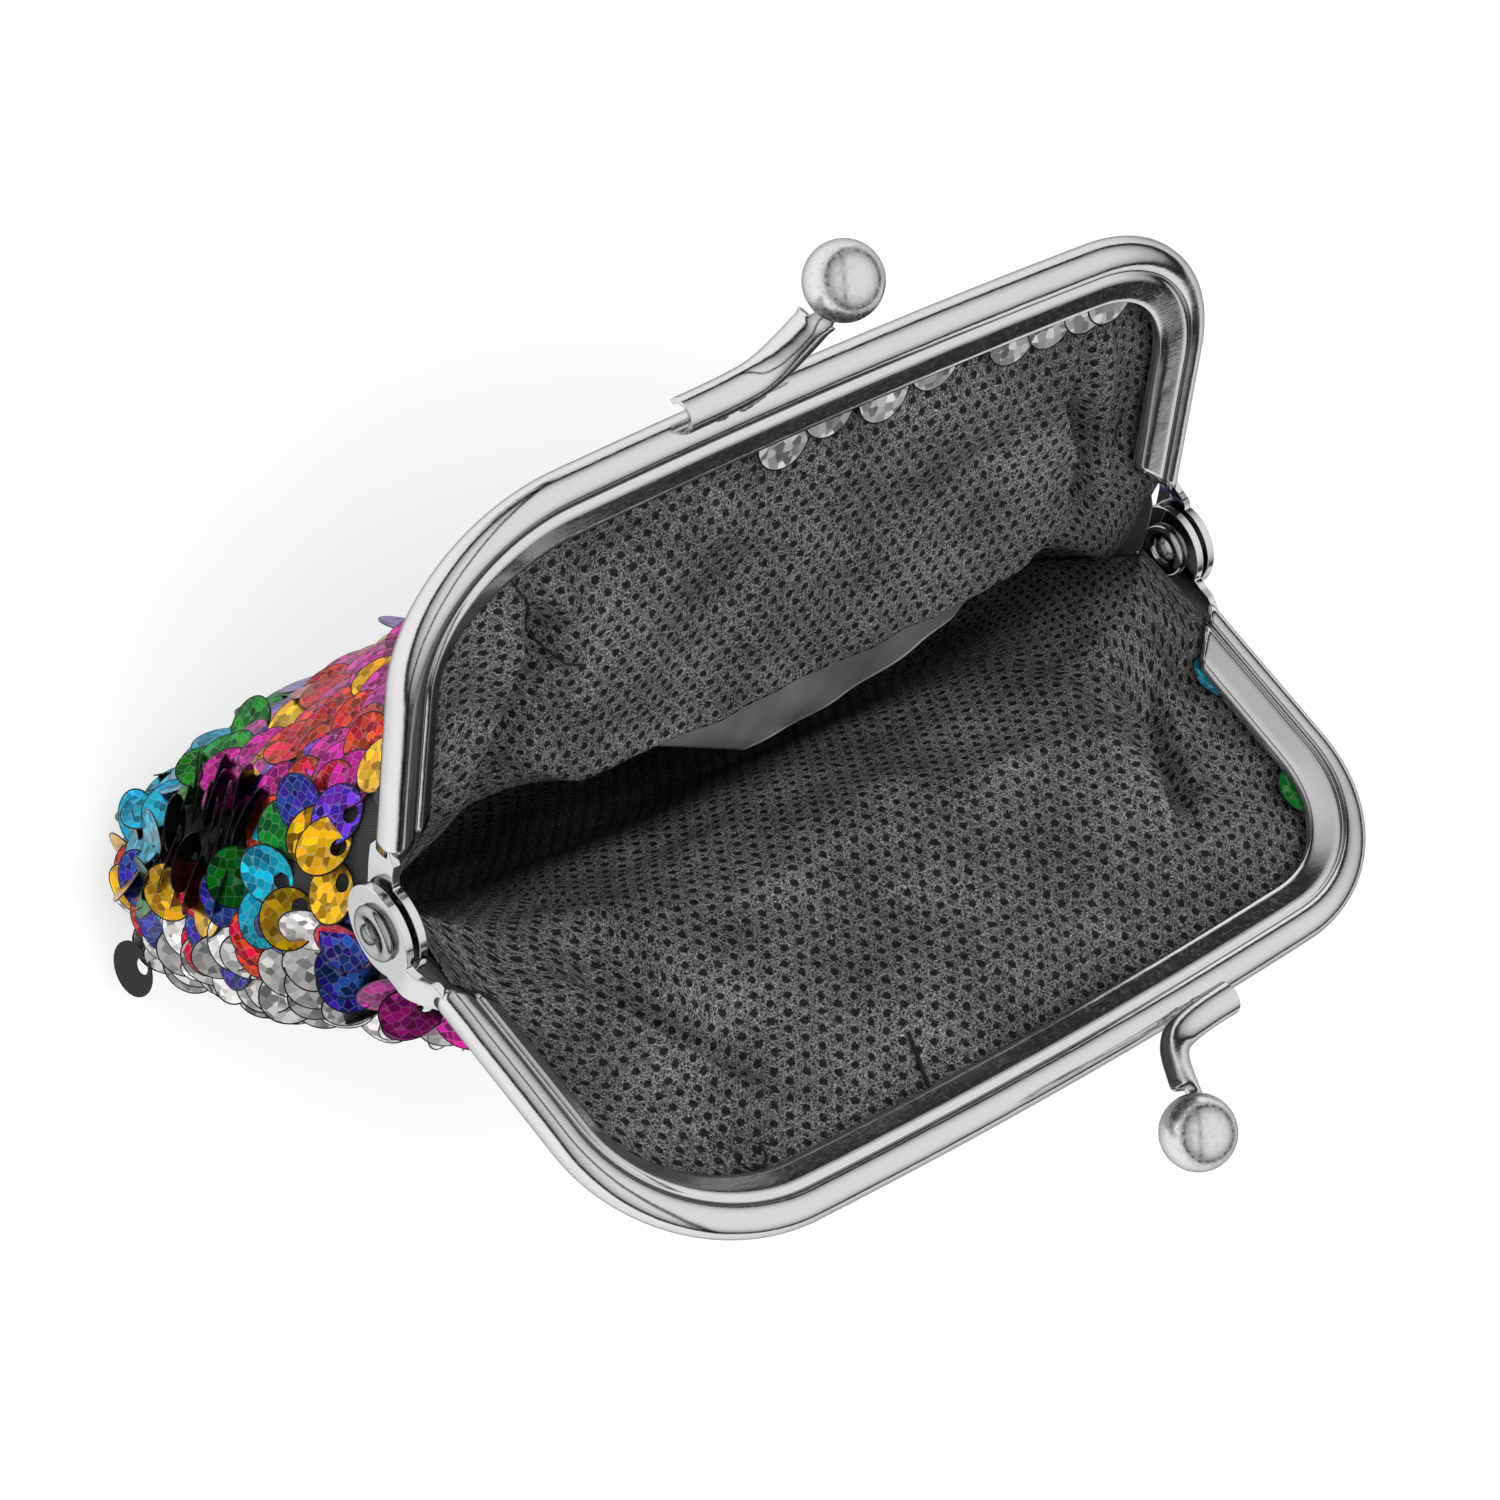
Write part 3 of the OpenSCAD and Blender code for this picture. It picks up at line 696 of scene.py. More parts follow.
def rivet(side_name, sign):
    """Tubular rivet: rolled rims on a hollow shank."""
    low = EAR_MIDDLE - EAR_GAP / 2 - EAR_T - 0.1
    high = EAR_MIDDLE + EAR_GAP / 2 + EAR_T + 0.1
    root = RIVET_BORE + 0.38
    roll = [(root + (RIVET_RIM - root) * f, h) for f, h in RIVET_ROLL]
    profile = [(RIVET_R, low), (RIVET_R, high)] + [(r, high + h) for r, h in roll]
    profile += [(RIVET_BORE, high - 0.1), (RIVET_BORE, low + 0.1)] + [(r, low - h) for r, h in roll[::-1]]
    points, faces = lathe(profile + [(RIVET_R, low)], (0, 0, 0), (1, 0, 0), 56)
    points[:, 0] *= sign
    points[:, 2] += HINGE_Z
    piece = make_mesh(f"{side_name}_rivet_tube", points, faces)
    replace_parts(piece, f"{side_name}_rivet")
    finish_piece(piece, "pouch", RIVET_METAL)


# ---- cloth ----
# Pouch sections from the rim down: height, half-width, half-depth, roundness
SECTIONS = np.array([
    [57.5, 42.3, 21.0, 1.00],
    [48.0, 43.2, 19.8, 0.97],
    [36.0, 43.5, 17.8, 0.90],
    [24.0, 43.1, 15.4, 0.84],
    [12.0, 41.6, 12.8, 0.78],
    [4.5, 38.6, 10.4, 0.74],
    [1.2, 35.0, 8.6, 0.72],
    [0.0, 31.0, 6.2, 0.72]])
RIM_Z = SECTIONS[0, 0]
PANEL_START = 8.0
RIM_DIP = 1.2
SHELL_INSET = 1.3
# Outer cloth inside and below the channel: inset from the outer edge, height from the mating face
CLOTH_W = 2.6
CLOTH_RISE = [(CLOTH_W, 2.30), (3.4, 2.35), (4.4, 2.55), (5.3, 3.3), (6.7, 4.3), (9.6, 6.0)]
# Where the outer cloth turns round the side seam between the channel and the rim, and its share of the way
SIDE_TURN = [(0.36, (40.0, -5.6, 62.0)), (0.72, (40.6, -2.6, 59.6))]


def resample(rows, count):
    """Columns of a (rows, columns, 3) array cut again into equal lengths, as (columns, count, 3)."""
    step = np.linalg.norm(np.diff(rows, axis=0), axis=-1)
    run = np.concatenate([np.zeros((1, rows.shape[1])), np.cumsum(step, axis=0)])
    t = np.linspace(0, 1, count)
    return np.array([[np.interp(t * run[-1, i], run[:, i], rows[:, i, k]) for k in range(3)]
                     for i in range(rows.shape[1])]).transpose(0, 2, 1)


def outer_surface(half, across, along):
    """Grid (across, along, 3) of one half's outer cloth, from the channel to the bottom's middle line."""
    u = np.linspace(1, 0, across)
    point, inward = outline(PANEL_START + (EDGE_LEN - 2 * PANEL_START) * u)
    cos, sin = np.cos(math.pi * u), np.sin(math.pi * u)
    end = np.minimum(u, 1 - u)[:, None]

    def ring(height, a, b, e):
        x = (a - SHELL_INSET) * np.sign(cos) * np.abs(cos) ** e
        return np.column_stack([x, -(b - SHELL_INSET) * np.abs(sin) ** e, np.full(across, height)])

    controls = []
    for w, n in CLOTH_RISE:
        flat = point + (CLOTH_W + (w - CLOTH_W) * smoothstep(end / 0.10)) * inward
        controls.append(to_world(np.column_stack([flat, np.full(across, n)]), FRONT))
    last, rim = controls[-1], ring(*SECTIONS[0])
    share = 1 - smoothstep(end / 0.05)
    for f, (x, y, z) in SIDE_TURN:
        turned = np.column_stack([x * np.sign(cos), np.full(across, y), np.full(across, z)])
        controls.append((last * (1 - f) + rim * f) * (1 - share) + turned * share)
    for section in SECTIONS:
        row = ring(*section)
        row[:, 2] += 1.1 * (1 - section[0] / RIM_Z) - (RIM_DIP * cos**6 if section[0] == RIM_Z else 0)
        controls.append(row)
    x = 28 * np.sign(cos) * np.abs(cos) ** 0.8
    controls.append(np.column_stack([x, np.full(across, -0.05), np.full(across, 1.1)]))
    grid = resample(catmull(np.array(controls), 8), along)
    return grid if half == "front" else grid * TURNED_BACK


def soft_noise(x, y, seed, lengths):
    """Smooth undulation of about unit height from a few crossing waves."""
    local = np.random.default_rng(seed)
    total = 0
    for length in lengths:
        turn, phase = local.uniform(0, math.pi), local.uniform(0, 2 * math.pi)
        total = total + np.sin((x * math.cos(turn) + y * math.sin(turn)) * 2 * math.pi / length + phase)
    return total / math.sqrt(len(lengths))


# Side folds of the lining: height above the hinge, middle of the fold across, its half-width
FOLD = {
    "back": np.array([[5.0, 31.4, 2.0], [9.0, 31.0, 1.7], [15.5, 29.9, 1.1], [22.0, 27.6, 1.7],
                      [27.0, 28.4, 1.0], [31.0, 30.0, 0.8]]),
    "front": np.array([[5.0, 31.6, 1.7], [10.0, 30.6, 1.4], [15.0, 28.4, 1.2], [21.0, 25.2, 1.1],
                       [27.0, 22.0, 1.1], [31.0, 19.5, 1.2]])}
# The folds' depth, the height where they start and how gently they deepen
FOLD_DEPTH = {"back": (4.3, 30.5, 13), "front": (3.4, 29, 15)}
WAVE_SEEDS = {"back": (11, 31, 7), "front": (23, 43, 6)}
LINING_EDGE_N = 1.15
LINING_LOW_N = 0.45


def lining_height(half, x, v):
    """How far the lining stands out from the mating plane, above the hinge."""
    wide = (x > 0) == (half == "front")
    near_leg = smoothstep((LEG_LEN + 8 - v) / 10) * (np.abs(x) > 24)
    w = inset_of(x, v) + near_leg * (BAR_FLANGE - np.where(wide, WIDE_FLANGE, NARROW_FLANGE))
    fold = FOLD[half]
    depth, fold_top, reach = FOLD_DEPTH[half]
    gap = np.abs((np.abs(x) - np.interp(v, fold[:, 0], fold[:, 1])) / np.interp(v, fold[:, 0], fold[:, 2]))
    valley = depth * smoothstep((fold_top - v) / reach) * np.exp(-gap**2.4)
    lips = 0.55 * smoothstep((30 - v) / 8) * np.exp(-((gap - 2.1) / 0.8) ** 2)
    away = smoothstep((w - 5.5) / 7)
    free = smoothstep((w - 4.6) / 3)
    base = LINING_EDGE_N + 1.25 * smoothstep((w - 2.2) / 3.4) - 1.75 * smoothstep((w - 5.6) / 8)
    large, small, _ = WAVE_SEEDS[half]
    relief = 0.42 * soft_noise(x, v, large, (23, 17, 13, 31))
    relief = relief + 0.13 * soft_noise(x, v, small, (5.5, 7.0, 4.2))
    if half == "back":
        relief = relief + 1.3 * np.exp(-((x - 22.5) ** 2 / 14 + (v - 26.5) ** 2 / 7))
        relief = relief + 0.8 * np.exp(-((x - 12 + 0.5 * (v - 19)) ** 2 / 60 + (v - 19) ** 2 / 5))
        relief = relief + 0.7 * np.exp(-((x + 16) ** 2 / 40 + (v - 17 + 0.2 * x) ** 2 / 4))
    return np.maximum(base + (valley - lips) * free + relief * away, LINING_LOW_N)


# Inside of the pouch, under the lining's roll: drop below the hinge and half-depth there
DEPTHS = {
    "front": [(-2.6, 7.2), (2.5, 5.5), (6.0, 4.8), (12.0, 4.4), (24.0, 5.6), (36.0, 6.6), (48.0, 6.6),
              (54.0, 5.6)],
    "back": [(6.0, 5.6), (12.0, 8.0), (24.0, 10.8), (36.0, 10.6), (48.0, 9.0), (54.0, 7.0)]}
SEAM_TOP = 0.8
SEAM_STEP = 1.6
LINING_FLOOR = 3.0
LINING_MARGIN = 2.4


def lining_limit(v):
    """Half-width of the lining between the legs, a little more beside the ears."""
    return LEG_X - CLOTH_W + 0.1 - v * math.tan(LEG_LEAN) + smoothstep((11.5 - v) / 4)


def lining_surface(half, across, along):
    """Grid of one half's lining: from the channel over the open half, then down into the pouch."""
    even = np.linspace(-1, 1, across)
    p = 0.45 * np.sin(even * math.pi / 2 * 0.94) / math.sin(math.pi / 2 * 0.94) + 0.55 * even
    top = np.full(across, 30.0)
    for _ in range(40):
        miss = inset_of(p * lining_limit(top), top) - CLOTH_W
        top = np.clip(top + 0.6 * miss, CORNER_CENTRE[1], None)
    reach = np.abs(p * lining_limit(8.0))
    low = (4.3 + 1.3 * (reach / 25) ** 2 + 3.2 * smoothstep((reach - 23) / 6)
           - 2.6 * smoothstep((reach - 31) / 4))
    if half == "front":
        low = low + 6.0 * (1 - smoothstep((reach - 26) / 10))
    rows = []
    for f in np.linspace(0, 1, 70):
        v = top + (low - top) * f
        x = p * lining_limit(v)
        rows.append(to_world(np.stack([x, v, lining_height(half, x, v)], -1), FRONT))
    span = 1 - np.abs(p) ** 5
    tail = [rows.pop()]
    for number, (drop, depth) in enumerate(DEPTHS[half]):
        side_drop = max(drop, SEAM_TOP + SEAM_STEP * number)
        z = HINGE_Z - drop * span - side_drop * (1 - span)
        wide = np.interp(z, SECTIONS[::-1, 0], SECTIONS[::-1, 1]) - LINING_MARGIN
        wide = np.minimum(wide, 40.15 + 0.12 * np.maximum(HINGE_Z - z, 0))
        ripple = 0.5 * soft_noise(p * wide, z, WAVE_SEEDS[half][2], (19, 11, 27)) * span
        tail.append(np.stack([p * wide, -(depth + ripple) * span - 0.08, z], -1))
    tail.append(np.stack([p * 31, np.full(across, -0.08), np.full(across, LINING_FLOOR)], -1))
    grid = resample(np.concatenate([np.array(rows), catmull(np.array(tail), 8)]), along)
    return grid if half == "front" else grid * TURNED_BACK


def grid_normals(grid):
    """Unit normals of a grid, looking out of the purse."""
    normal = np.cross(np.gradient(grid, axis=1), np.gradient(grid, axis=0))
    return normal / (np.linalg.norm(normal, axis=-1, keepdims=True) + 1e-12)


def flat_uvs(grid):
    """Lengths along and across a grid of cloth, in millimetres."""
    across = np.linalg.norm(np.diff(grid, axis=0), axis=-1)
    along = np.linalg.norm(np.diff(grid, axis=1), axis=-1)
    x = np.concatenate([np.zeros((1, grid.shape[1])), np.cumsum(across, axis=0)])
    x -= x[x.shape[0] // 2]
    y = np.concatenate([np.zeros((grid.shape[0], 1)), np.cumsum(along, axis=1)], axis=1)
    return np.stack([x, y], -1)


def sheet_piece(name, grid, thickness, material):
    """A sheet cut as wide and long as the grid's longest lines: the grid and a copy set off outwards."""
    rows, cols = grid.shape[:2]
    points = np.concatenate([grid.reshape(-1, 3), (grid + grid_normals(grid) * thickness).reshape(-1, 3)])
    total = rows * cols
    faces = grid_faces(rows, cols)
    faces += [[a + total, d + total, c + total, b + total] for a, b, c, d in faces]
    rim = [(0, c) for c in range(cols)] + [(r, cols - 1) for r in range(1, rows)]
    rim += [(rows - 1, c) for c in range(cols - 2, -1, -1)] + [(r, 0) for r in range(rows - 2, 0, -1)]
    index = [r * cols + c for r, c in rim]
    faces += [[a, b, b + total, a + total] for a, b in zip(index, index[1:] + index[:1])]
    uv = flat_uvs(grid)
    flat = uv.reshape(-1, 2)
    piece = make_mesh(name, points, faces, np.concatenate([flat, flat]))
    piece.data.materials.append(material)
    return piece


def bend_with(piece):
    """Bakes the piece's placing into its mesh; nothing ties it to the pouch or to a half."""
    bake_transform(piece)


def gathered_cloth(half, layer, grid, thickness, material, stands_for):
    """One side's cloth of one layer, gathered into the channel."""
    piece = sheet_piece(f"{half}_{layer}_cloth", grid, thickness, material)
    bend_with(piece)
    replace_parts(piece, *stands_for)


# ---- sequins ----
SEQUIN_R = 2.65
SEQUIN_HOLE_R = 0.78
SEQUIN_HOLE_AT = 1.45
SEQUIN_T = 0.11
# Width of the band round each sequin's top that is left off the foil and painted dark with the back film as
# shade.
SEQUIN_SHADE_RIM = 0.13
SEQUIN_SIDES = 28


def sequin_template():
    """Points (across, down from the hole's middle, proud), faces and foil-side flags of one flat disc, whose
    top's outer band is painted dark as shade.
    """
    cos, sin = circle(SEQUIN_SIDES)
    ring = np.stack([sin, -cos], -1)
    centre = np.array([0, SEQUIN_HOLE_AT])
    loops = [ring * SEQUIN_HOLE_R, ring * (SEQUIN_R - SEQUIN_SHADE_RIM) + centre, ring * SEQUIN_R + centre]
    top = [np.column_stack([loop, np.full(SEQUIN_SIDES, SEQUIN_T)]) for loop in loops]
    under = [np.column_stack([loop, np.zeros(SEQUIN_SIDES)]) for loop in (loops[0], loops[2])]
    k = np.arange(SEQUIN_SIDES)
    after = (k + 1) % SEQUIN_SIDES
    faces = [np.stack([a * SEQUIN_SIDES + k, b * SEQUIN_SIDES + k, b * SEQUIN_SIDES + after,
                       a * SEQUIN_SIDES + after], -1) for a, b in ((0, 1), (1, 2), (2, 4), (4, 3), (3, 0))]
    # Only the top inside the band is foil. The band round its edge takes the back film as painted shade.
    is_foil = np.repeat([1, 0, 0, 0, 0], SEQUIN_SIDES)
    return np.concatenate(top + under), np.concatenate(faces), is_foil


TEMPLATE, TEMPLATE_FACES, TEMPLATE_FOIL = sequin_template()


def sequin_piece(half, name, colour, places):
    """One colour of sequins; each place is the hole's middle, across, down, proud and a shift of the foil."""
    points = [at + TEMPLATE @ np.stack([across, down, proud]) for at, across, down, proud, _ in places]
    faces = [TEMPLATE_FACES + i * len(TEMPLATE) for i in range(len(places))]
    uvs = [TEMPLATE[:, :2] + shift for *_, shift in places]
    # Faces off the foil take the back film: the disc's real underside and sides, and the painted shade band
    # round its top.
    piece = make_mesh(f"{half}_{name}_{colour}", np.concatenate(points), np.concatenate(faces).tolist(),
                      np.concatenate(uvs), smooth=False, slots=np.tile(1 - TEMPLATE_FOIL, len(places)))
    piece.data.materials.append(SEQUINS.get(colour, SEQUIN_BACK_AND_RIM_SHADE))
    piece.data.materials.append(SEQUIN_BACK_AND_RIM_SHADE)
    return piece


FIRST_ROW = 6.4
LAST_ROW_MARGIN = 2
ROW_PITCH = 2.75
ALONG_PITCH = 3.7
COLOURS = ["cyan", "green", "gold", "red", "magenta", "violet", "blue"]
STRIPE = 31.0
# Lies of a sequin, in degrees: tilt away from the cloth and its play, turn in its plane, roll and its play
LIES = {"flat": (12, 4, 13, 5, 4), "loose": (22, 9, 30, 0, 11), "lifted": (36, 9, 22, 0, 11),
        "standing": (46, 8, 26, 0, 11)}
LEAST_TILT = 4
# Way that the sequins standing on edge at the left side face
EDGE_FACING = np.array([0.62, -0.58, 0.52])
# One sequin hangs off the left side by its thread: hole's middle, way down and way it faces
LOOSE_SEQUIN = np.array([(-42.4, -5.6, 9.4), (-0.25, -0.1, -1.0), (-0.75, 0.15, 0.6)])


def near_hinge(side, place):
    """True where a sequin would foul the ears, rivets or the foot of a leg."""
    y, z = place[1] * side, place[2] - HINGE_Z
    v = -y * math.sin(OPEN_ANGLE) + z * math.cos(OPEN_ANGLE)
    foot = v < 19 and abs(place[0]) > 31.0 and z > -3
    return foot or (abs(place[0]) > 36.5 and z > -6.5)


def side_style(y, z, chance):
    """Colour, or none, and lie of a sequin round the left side seam, by how far back and how high it is."""
    if z > 38 and y < 6 and abs(chance) > 0.8 or abs(chance) > 1.7:
        return None, "flat"
    pick = int(abs(chance) * 97)
    if y < -2.6:
        return (("magenta", "blue")[pick % 2] if z > 49 else "foil"), "standing"
    if y < -0.6:
        return ("red", "blue", "foil")[int(z / 4.1) % 3], "loose"
    if 17 < z < 38 and 2.5 < y < 8.5:
        return ("back", "back", "foil")[pick % 3], "edge"
    if y < 4:
        return ("cyan", "gold", "red", "gold", "blue", "green")[int(z / 3.4) % 6], "loose"
    t = y + 0.10 * (z - 30) + 0.5 * chance
    if t < 8:
        return ("cyan" if z < 22 else ("gold", "cyan", "green", "red")[int(z / 3.1) % 4]), "loose"
    if t < 10:
        mixed = "green" if z < 26 else ("blue", "red", "green")[pick % 3]
        return ("magenta" if 26 < z < 38 else mixed), "loose"
    if t < 11.6:
        return ("magenta", "magenta", "violet", "red")[pick % 4], "flat"
    if t < 13:
        return ("gold", "red", "magenta")[int(z / 9) % 3], "flat"
    return ("magenta", "gold", "red")[int(t / 1.6) % 3], "flat"


def sequin_style(half, x, y, place, chance):
    """Colour of a sequin and how it lies: slanting stripes, and a disturbed patch at the left side."""
    if place[0] < -17 and place[2] > 5:
        return side_style(place[1], place[2], chance)
    slant = x * HALVES[half] * 0.62 + y * 0.9 + 2.2 * math.sin(x * 0.11) + 1.3 * chance
    stripe = COLOURS[int(slant / STRIPE * len(COLOURS)) % len(COLOURS)]
    return stripe, "lifted" if abs(chance) > 1.9 else "loose" if abs(chance) > 1.1 else "flat"


def turned(a, b, angle):
    """Two directions at right angles, turned together by an angle that takes a towards b."""
    return math.cos(angle) * a + math.sin(angle) * b, math.cos(angle) * b - math.sin(angle) * a


def lay(style, jitter, across, down, proud):
    """Directions across, down and proud of a sequin, from those of the cloth under it."""
    if style == "edge":
        facing = unit(EDGE_FACING + 0.10 * jitter[2:5])
        down = unit(proud - (proud @ facing) * facing)
        return np.cross(down, facing), down, facing
    tilt, play, turn, roll, roll_play = LIES[style]
    down, across = turned(down, across, math.radians(turn * jitter[4]))
    down, proud = turned(down, proud, math.radians(max(tilt + play * jitter[2], LEAST_TILT)))
    across, proud = turned(across, proud, math.radians(roll + roll_play * jitter[3]))
    return across, down, proud


def between(field, i, j):
    """Value of a grid at a place between its points."""
    a, b = int(i), int(j)
    fa, fb = i - a, j - b
    return ((field[a, b] * (1 - fa) + field[a + 1, b] * fa) * (1 - fb)
            + (field[a, b + 1] * (1 - fa) + field[a + 1, b + 1] * fa) * fb)


def sew_sequins(half, grid):
    """Rows of sequins sewn to one side's base cloth, sorted by colour."""
    normals = grid_normals(grid)
    uv = flat_uvs(grid)
    across_n, along_n = grid.shape[:2]
    width = uv[-1, :, 0] - uv[0, :, 0]
    length = uv[:, -1, 1].mean()
    by_colour = {}
    for row in range(int((length - FIRST_ROW - LAST_ROW_MARGIN) / ROW_PITCH)):
        y = FIRST_ROW + row * ROW_PITCH
        j0 = (along_n - 1) * y / length
        here = width[int(j0)]
        count = int((here - 3) / ALONG_PITCH)
        for k in range(count):
            s = (k + 0.5 + 0.5 * (row % 2)) / (count + 0.5)
            jitter = rng.normal(0, 1, 6)
            i = min(max((across_n - 1) * s + 0.25 * jitter[0], 0), across_n - 1.001)
            j = min(max(j0 + 0.25 * jitter[1], 0), along_n - 1.001)
            place, proud = between(grid, i, j), unit(between(normals, i, j))
            colour, style = sequin_style(half, float(s - 0.5) * here, y, place, jitter[5])
            if colour is None:
                continue
            down = unit(grid[int(i), int(j) + 1] - grid[int(i), int(j)])
            base = place + proud * (0.35 + 0.25 * abs(jitter[3]))
            across, down, facing = lay(style, jitter, unit(np.cross(down, proud)), down, proud)
            if (base + down * 4)[2] < 0.35 or near_hinge(HALVES[half], base):
                continue
            by_colour.setdefault(colour, []).append((base, across, down, facing, rng.uniform(0, 400, 2)))
    return by_colour


def sequins(half, grid):
    """All sequins of one side, a piece for each colour."""
    by_colour = sew_sequins(half, grid)
    if half == "front":
        at, down, proud = LOOSE_SEQUIN
        down = unit(down)
        across = unit(np.cross(down, proud))
        by_colour.setdefault("back", []).append((at, across, down, np.cross(across, down), np.zeros(2)))
    for colour, places in sorted(by_colour.items()):
        bend_with(sequin_piece(half, "sequins", colour, places))


# Sequins caught under the flange, by colour: place along the outline and inset
HEM = {
    "front": {"cyan": [(12.9, 4.6)], "green": [(27.8, 4.9)]},
    "back": {"foil": [(HALF_LEN + x, w) for x, w in (
        (-5.6, 5.9), (-1.1, 4.7), (4.6, 5.6), (9.8, 4.5), (18.3, 5.3), (22.5, 5.2), (26.5, 5.1),
        (30.2, 4.8))]}}
HEM_N = 1.05
HEM_SLOPE = 0.12


def hem_sequins(half):
    """Sequins caught under the flange that show along its inner edge."""
    for colour, spots in HEM[half].items():
        places = []
        for s, w in spots:
            point, inward = outline(s)
            down = unit(np.array([*inward, -HEM_SLOPE]))
            proud = unit(np.array([0.0, 0.0, -1.0]) + down * down[2])
            hole = np.array([*(point + w * inward), HEM_N]) - down * SEQUIN_HOLE_AT
            at, below, above = to_world(np.stack([hole, hole + down, hole + proud]), HALVES[half])
            d, q = below - at, above - at
            places.append((at, np.cross(d, q), d, q, rng.uniform(0, 400, 2)))
        piece = sequin_piece(half, "hem_sequins", colour, places)
        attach(piece, f"{half}_half")
        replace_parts(piece, f"{half}_hem_sequins")


# ---- thread ends ----
# Cut ends of the seam threads lying on the lining: radius, then places across and up
THREAD_ENDS = {
    "front": [(0.09, [(-29.4, 29.8), (-28.4, 31.4), (-27.0, 30.7), (-26.9, 29.5), (-26.0, 30.1)]),
              (0.17, [(-11.6, 32.4), (-11.0, 30.2), (-10.4, 27.6)]),
              (0.10, [(5.0, 32.6), (6.2, 33.3), (7.5, 33.2), (8.1, 32.0)])],
    "back": [(0.10, [(31.6, 32.2), (30.6, 28.6), (28.8, 25.2), (27.2, 20.4), (24.2, 18.2)]),
             (0.07, [(-35.6, 12.0), (-34.2, 14.4), (-34.6, 16.6)])]}
THREAD_SIDES = 7
THREAD_OVER_LINING = 0.12


def tube(points, radius):
    """Points and faces of a thin closed tube along points."""
    ahead = np.gradient(points, axis=0)
    ahead /= np.linalg.norm(ahead, axis=-1, keepdims=True)
    one = np.cross(ahead, np.array([1.0, 0.3, 0.2]))
    one /= np.linalg.norm(one, axis=-1, keepdims=True)
    two = np.cross(ahead, one)
    cos, sin = (c[None, :, None] for c in circle(THREAD_SIDES))
    return closed_loft(points[:, None] + radius * (cos * one[:, None] + sin * two[:, None]))


def thread_ends(half):
    """Trimmed seam threads of one half."""
    points, faces, used = [], [], 0
    for radius, route in THREAD_ENDS[half]:
        flat = catmull(route, 8)
        n = lining_height(half, flat[:, 0], flat[:, 1]) - radius - THREAD_OVER_LINING
        ring, quads = tube(to_world(np.column_stack([flat, n]), HALVES[half]), radius)
        points.append(ring)
        faces += [[i + used for i in quad] for quad in quads]
        used += len(ring)
    piece = make_mesh(f"{half}_thread_ends", np.concatenate(points), faces)
    finish_piece(piece, f"{half}_half", THREAD)


# ---- label ----
LABEL_TOP = [(-20, 6.4, 0.4), (-3, 6.2, 0.0), (13, 6.4, 0.4), (25, 6.8, 0.8)]
LABEL_LOW = [(-3.4, -0.9, -5.4), (8.0, -0.4, -5.2), (18.5, 1.9, -3.4), (24.5, 4.0, -1.6)]


def label():
    """Blank dark label sewn behind the back lining's roll, with a wavy cut lower edge."""
    columns, rows = 70, 40
    f = np.linspace(0, 1, columns)[:, None]
    t = np.linspace(0, 1, rows)[None, :]
    top, low = catmull(LABEL_TOP, 23)[:, None], catmull(LABEL_LOW, 23)[:, None]
    grid = top * (1 - t[..., None]) + low * t[..., None]
    bow = np.sin(t * math.pi)
    wave = 0.55 * np.sin(f * 13 + 0.6) * (0.3 + f) + 0.3 * np.sin(f * 29)
    grid[..., 1] += -0.5 * np.sin(f * 9) * bow
    grid[..., 2] += 0.7 * bow + HINGE_Z + wave * t
    piece = sheet_piece("blank_label", grid, 0.09, LABEL_FILM)
    # The last strip along the lower edge and its cut face take the paler film as a painted highlight.
    piece.data.materials.append(LABEL_EDGE_HIGHLIGHT)
    for face in piece.data.polygons:
        if all(v % rows >= rows - 2 for v in face.vertices):
            face.material_index = 1
    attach(piece, "pouch")
    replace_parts(piece, "inner_label")


# ---- set ----
FLOOR_HALF_M = 1.6
# Lights: name, place in metres, width and length, power; none shows as a hard square in the chrome
LIGHTS = [("overhead", (-0.20, 0.08, 0.92), (0.35, 0.35), 2.6),
          ("key", (-0.45, -0.35, 0.75), (0.5, 0.5), 1.3),
          ("rear", (0.30, 0.55, 0.70), (0.5, 0.3), 0.9)]
# Brightness of the studio by height, with a dark band over the floor that draws dark lines in the chrome
SKY = [(0.0, 0.95), (0.02, 0.03), (0.17, 0.03), (0.30, 0.50), (0.60, 0.90), (0.85, 1.0)]
# A dark seam across the studio, square to this direction
SEAM_FACING = (0.80, -0.25, 0.54)


def floor_paint(tree):
    return {"Base Color": (0.40, 0.40, 0.40, 1),
            "Roughness": 0.85,
            "Emission Color": (1, 1, 1, 1),
            "Emission Strength": 0.66}


def add_stage():
    data = bpy.data.meshes.new("floor")
    r = FLOOR_HALF_M
    data.from_pydata([(-r, -r, 0), (r, -r, 0), (r, r, 0), (-r, r, 0)], [], [(0, 1, 2, 3)])
    floor = bpy.data.objects.new("floor", data)
    bpy.context.scene.collection.objects.link(floor)
    floor.data.materials.append(make_material("floor_white", floor_paint))


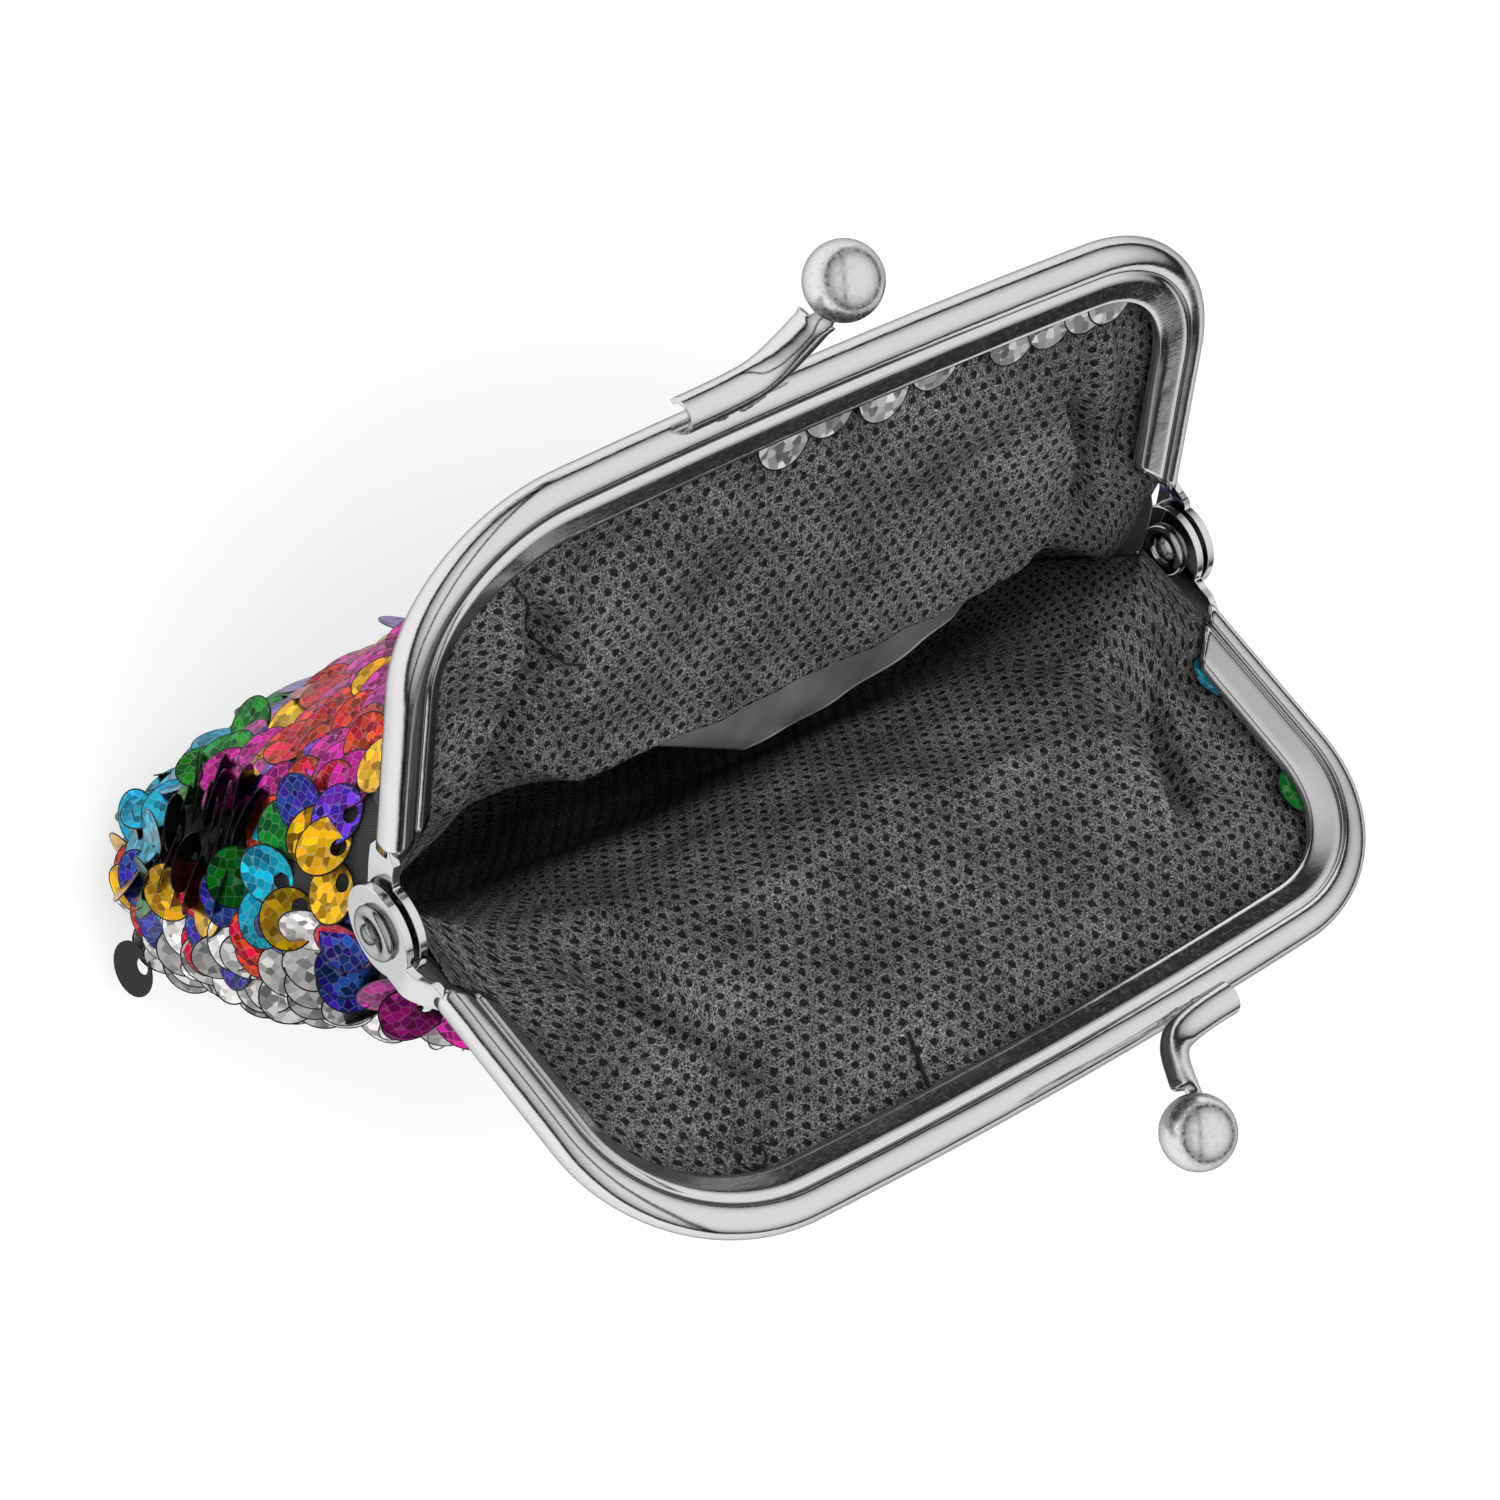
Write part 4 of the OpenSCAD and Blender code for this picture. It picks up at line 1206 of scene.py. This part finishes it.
def add_lights():
    for name, place, size, power in LIGHTS:
        data = bpy.data.lights.new(name, "AREA")
        data.shape = "RECTANGLE"
        data.size, data.size_y = size
        data.energy = power
        lamp = bpy.data.objects.new(name, data)
        lamp.location = place
        aim = Vector((0, 0, HINGE_Z * MM)) - Vector(place)
        lamp.rotation_euler = aim.to_track_quat("-Z", "Y").to_euler()
        lamp.visible_glossy = False
        bpy.context.scene.collection.objects.link(lamp)


def add_world():
    """Studio all round: paler with height, cut by the dark seam."""
    world = bpy.data.worlds.new("studio")
    bpy.context.scene.world = world
    world.use_nodes = True
    tree = world.node_tree
    direction = node(tree, "TexCoord").outputs["Generated"]
    sky = ramp(tree, vector_calc(tree, "DOT_PRODUCT", direction, (0, 0, 1)), SKY)
    across = calc(tree, "ABSOLUTE", vector_calc(tree, "DOT_PRODUCT", direction, SEAM_FACING))
    seam = ramp(tree, across, [(0.02, 0.03), (0.10, 1.0)])
    both = node(tree, "Mix", data_type="RGBA", blend_type="MULTIPLY", Factor=1, A=sky, B=seam)
    background = tree.nodes["Background"]
    tree.links.new(both.outputs["Result"], background.inputs["Color"])
    background.inputs["Strength"].default_value = 1.0


def paper_strings():
    """The carried-over paper strings inside the channels take a matt paper finish with faint streaks."""
    for half in HALVES:
        string = bpy.data.objects[f"{half}_paper_cord"]
        string.data.materials.clear()
        string.data.materials.append(PAPER)


bpy.context.scene.view_settings.view_transform = "Standard"
add_camera()
add_stage()
add_lights()
add_world()

for half in HALVES:
    channel = frame_channel(half)
    frame_ear(half, True)
    frame_ear(half, False)
    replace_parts(channel, f"{half}_frame")
    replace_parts(clasp_arm(half), f"{half}_clasp_arm")
    weld_beads(half)
    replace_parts(clasp_ball(half), f"{half}_clasp_ball")
    base = outer_surface(half, 130, 80)
    gathered_cloth(half, "base", base, -0.35, BASE_CLOTH, [f"{half}_outer_panel", "outer_shell"])
    gathered_cloth(half, "lining", lining_surface(half, 260, 190), 0.15, LINING,
                   [f"{half}_lining_panel", "lining"])
    sequins(half, base)
    hem_sequins(half)
    thread_ends(half)
label()
paper_strings()
rivet("left", -1)
rivet("right", 1)
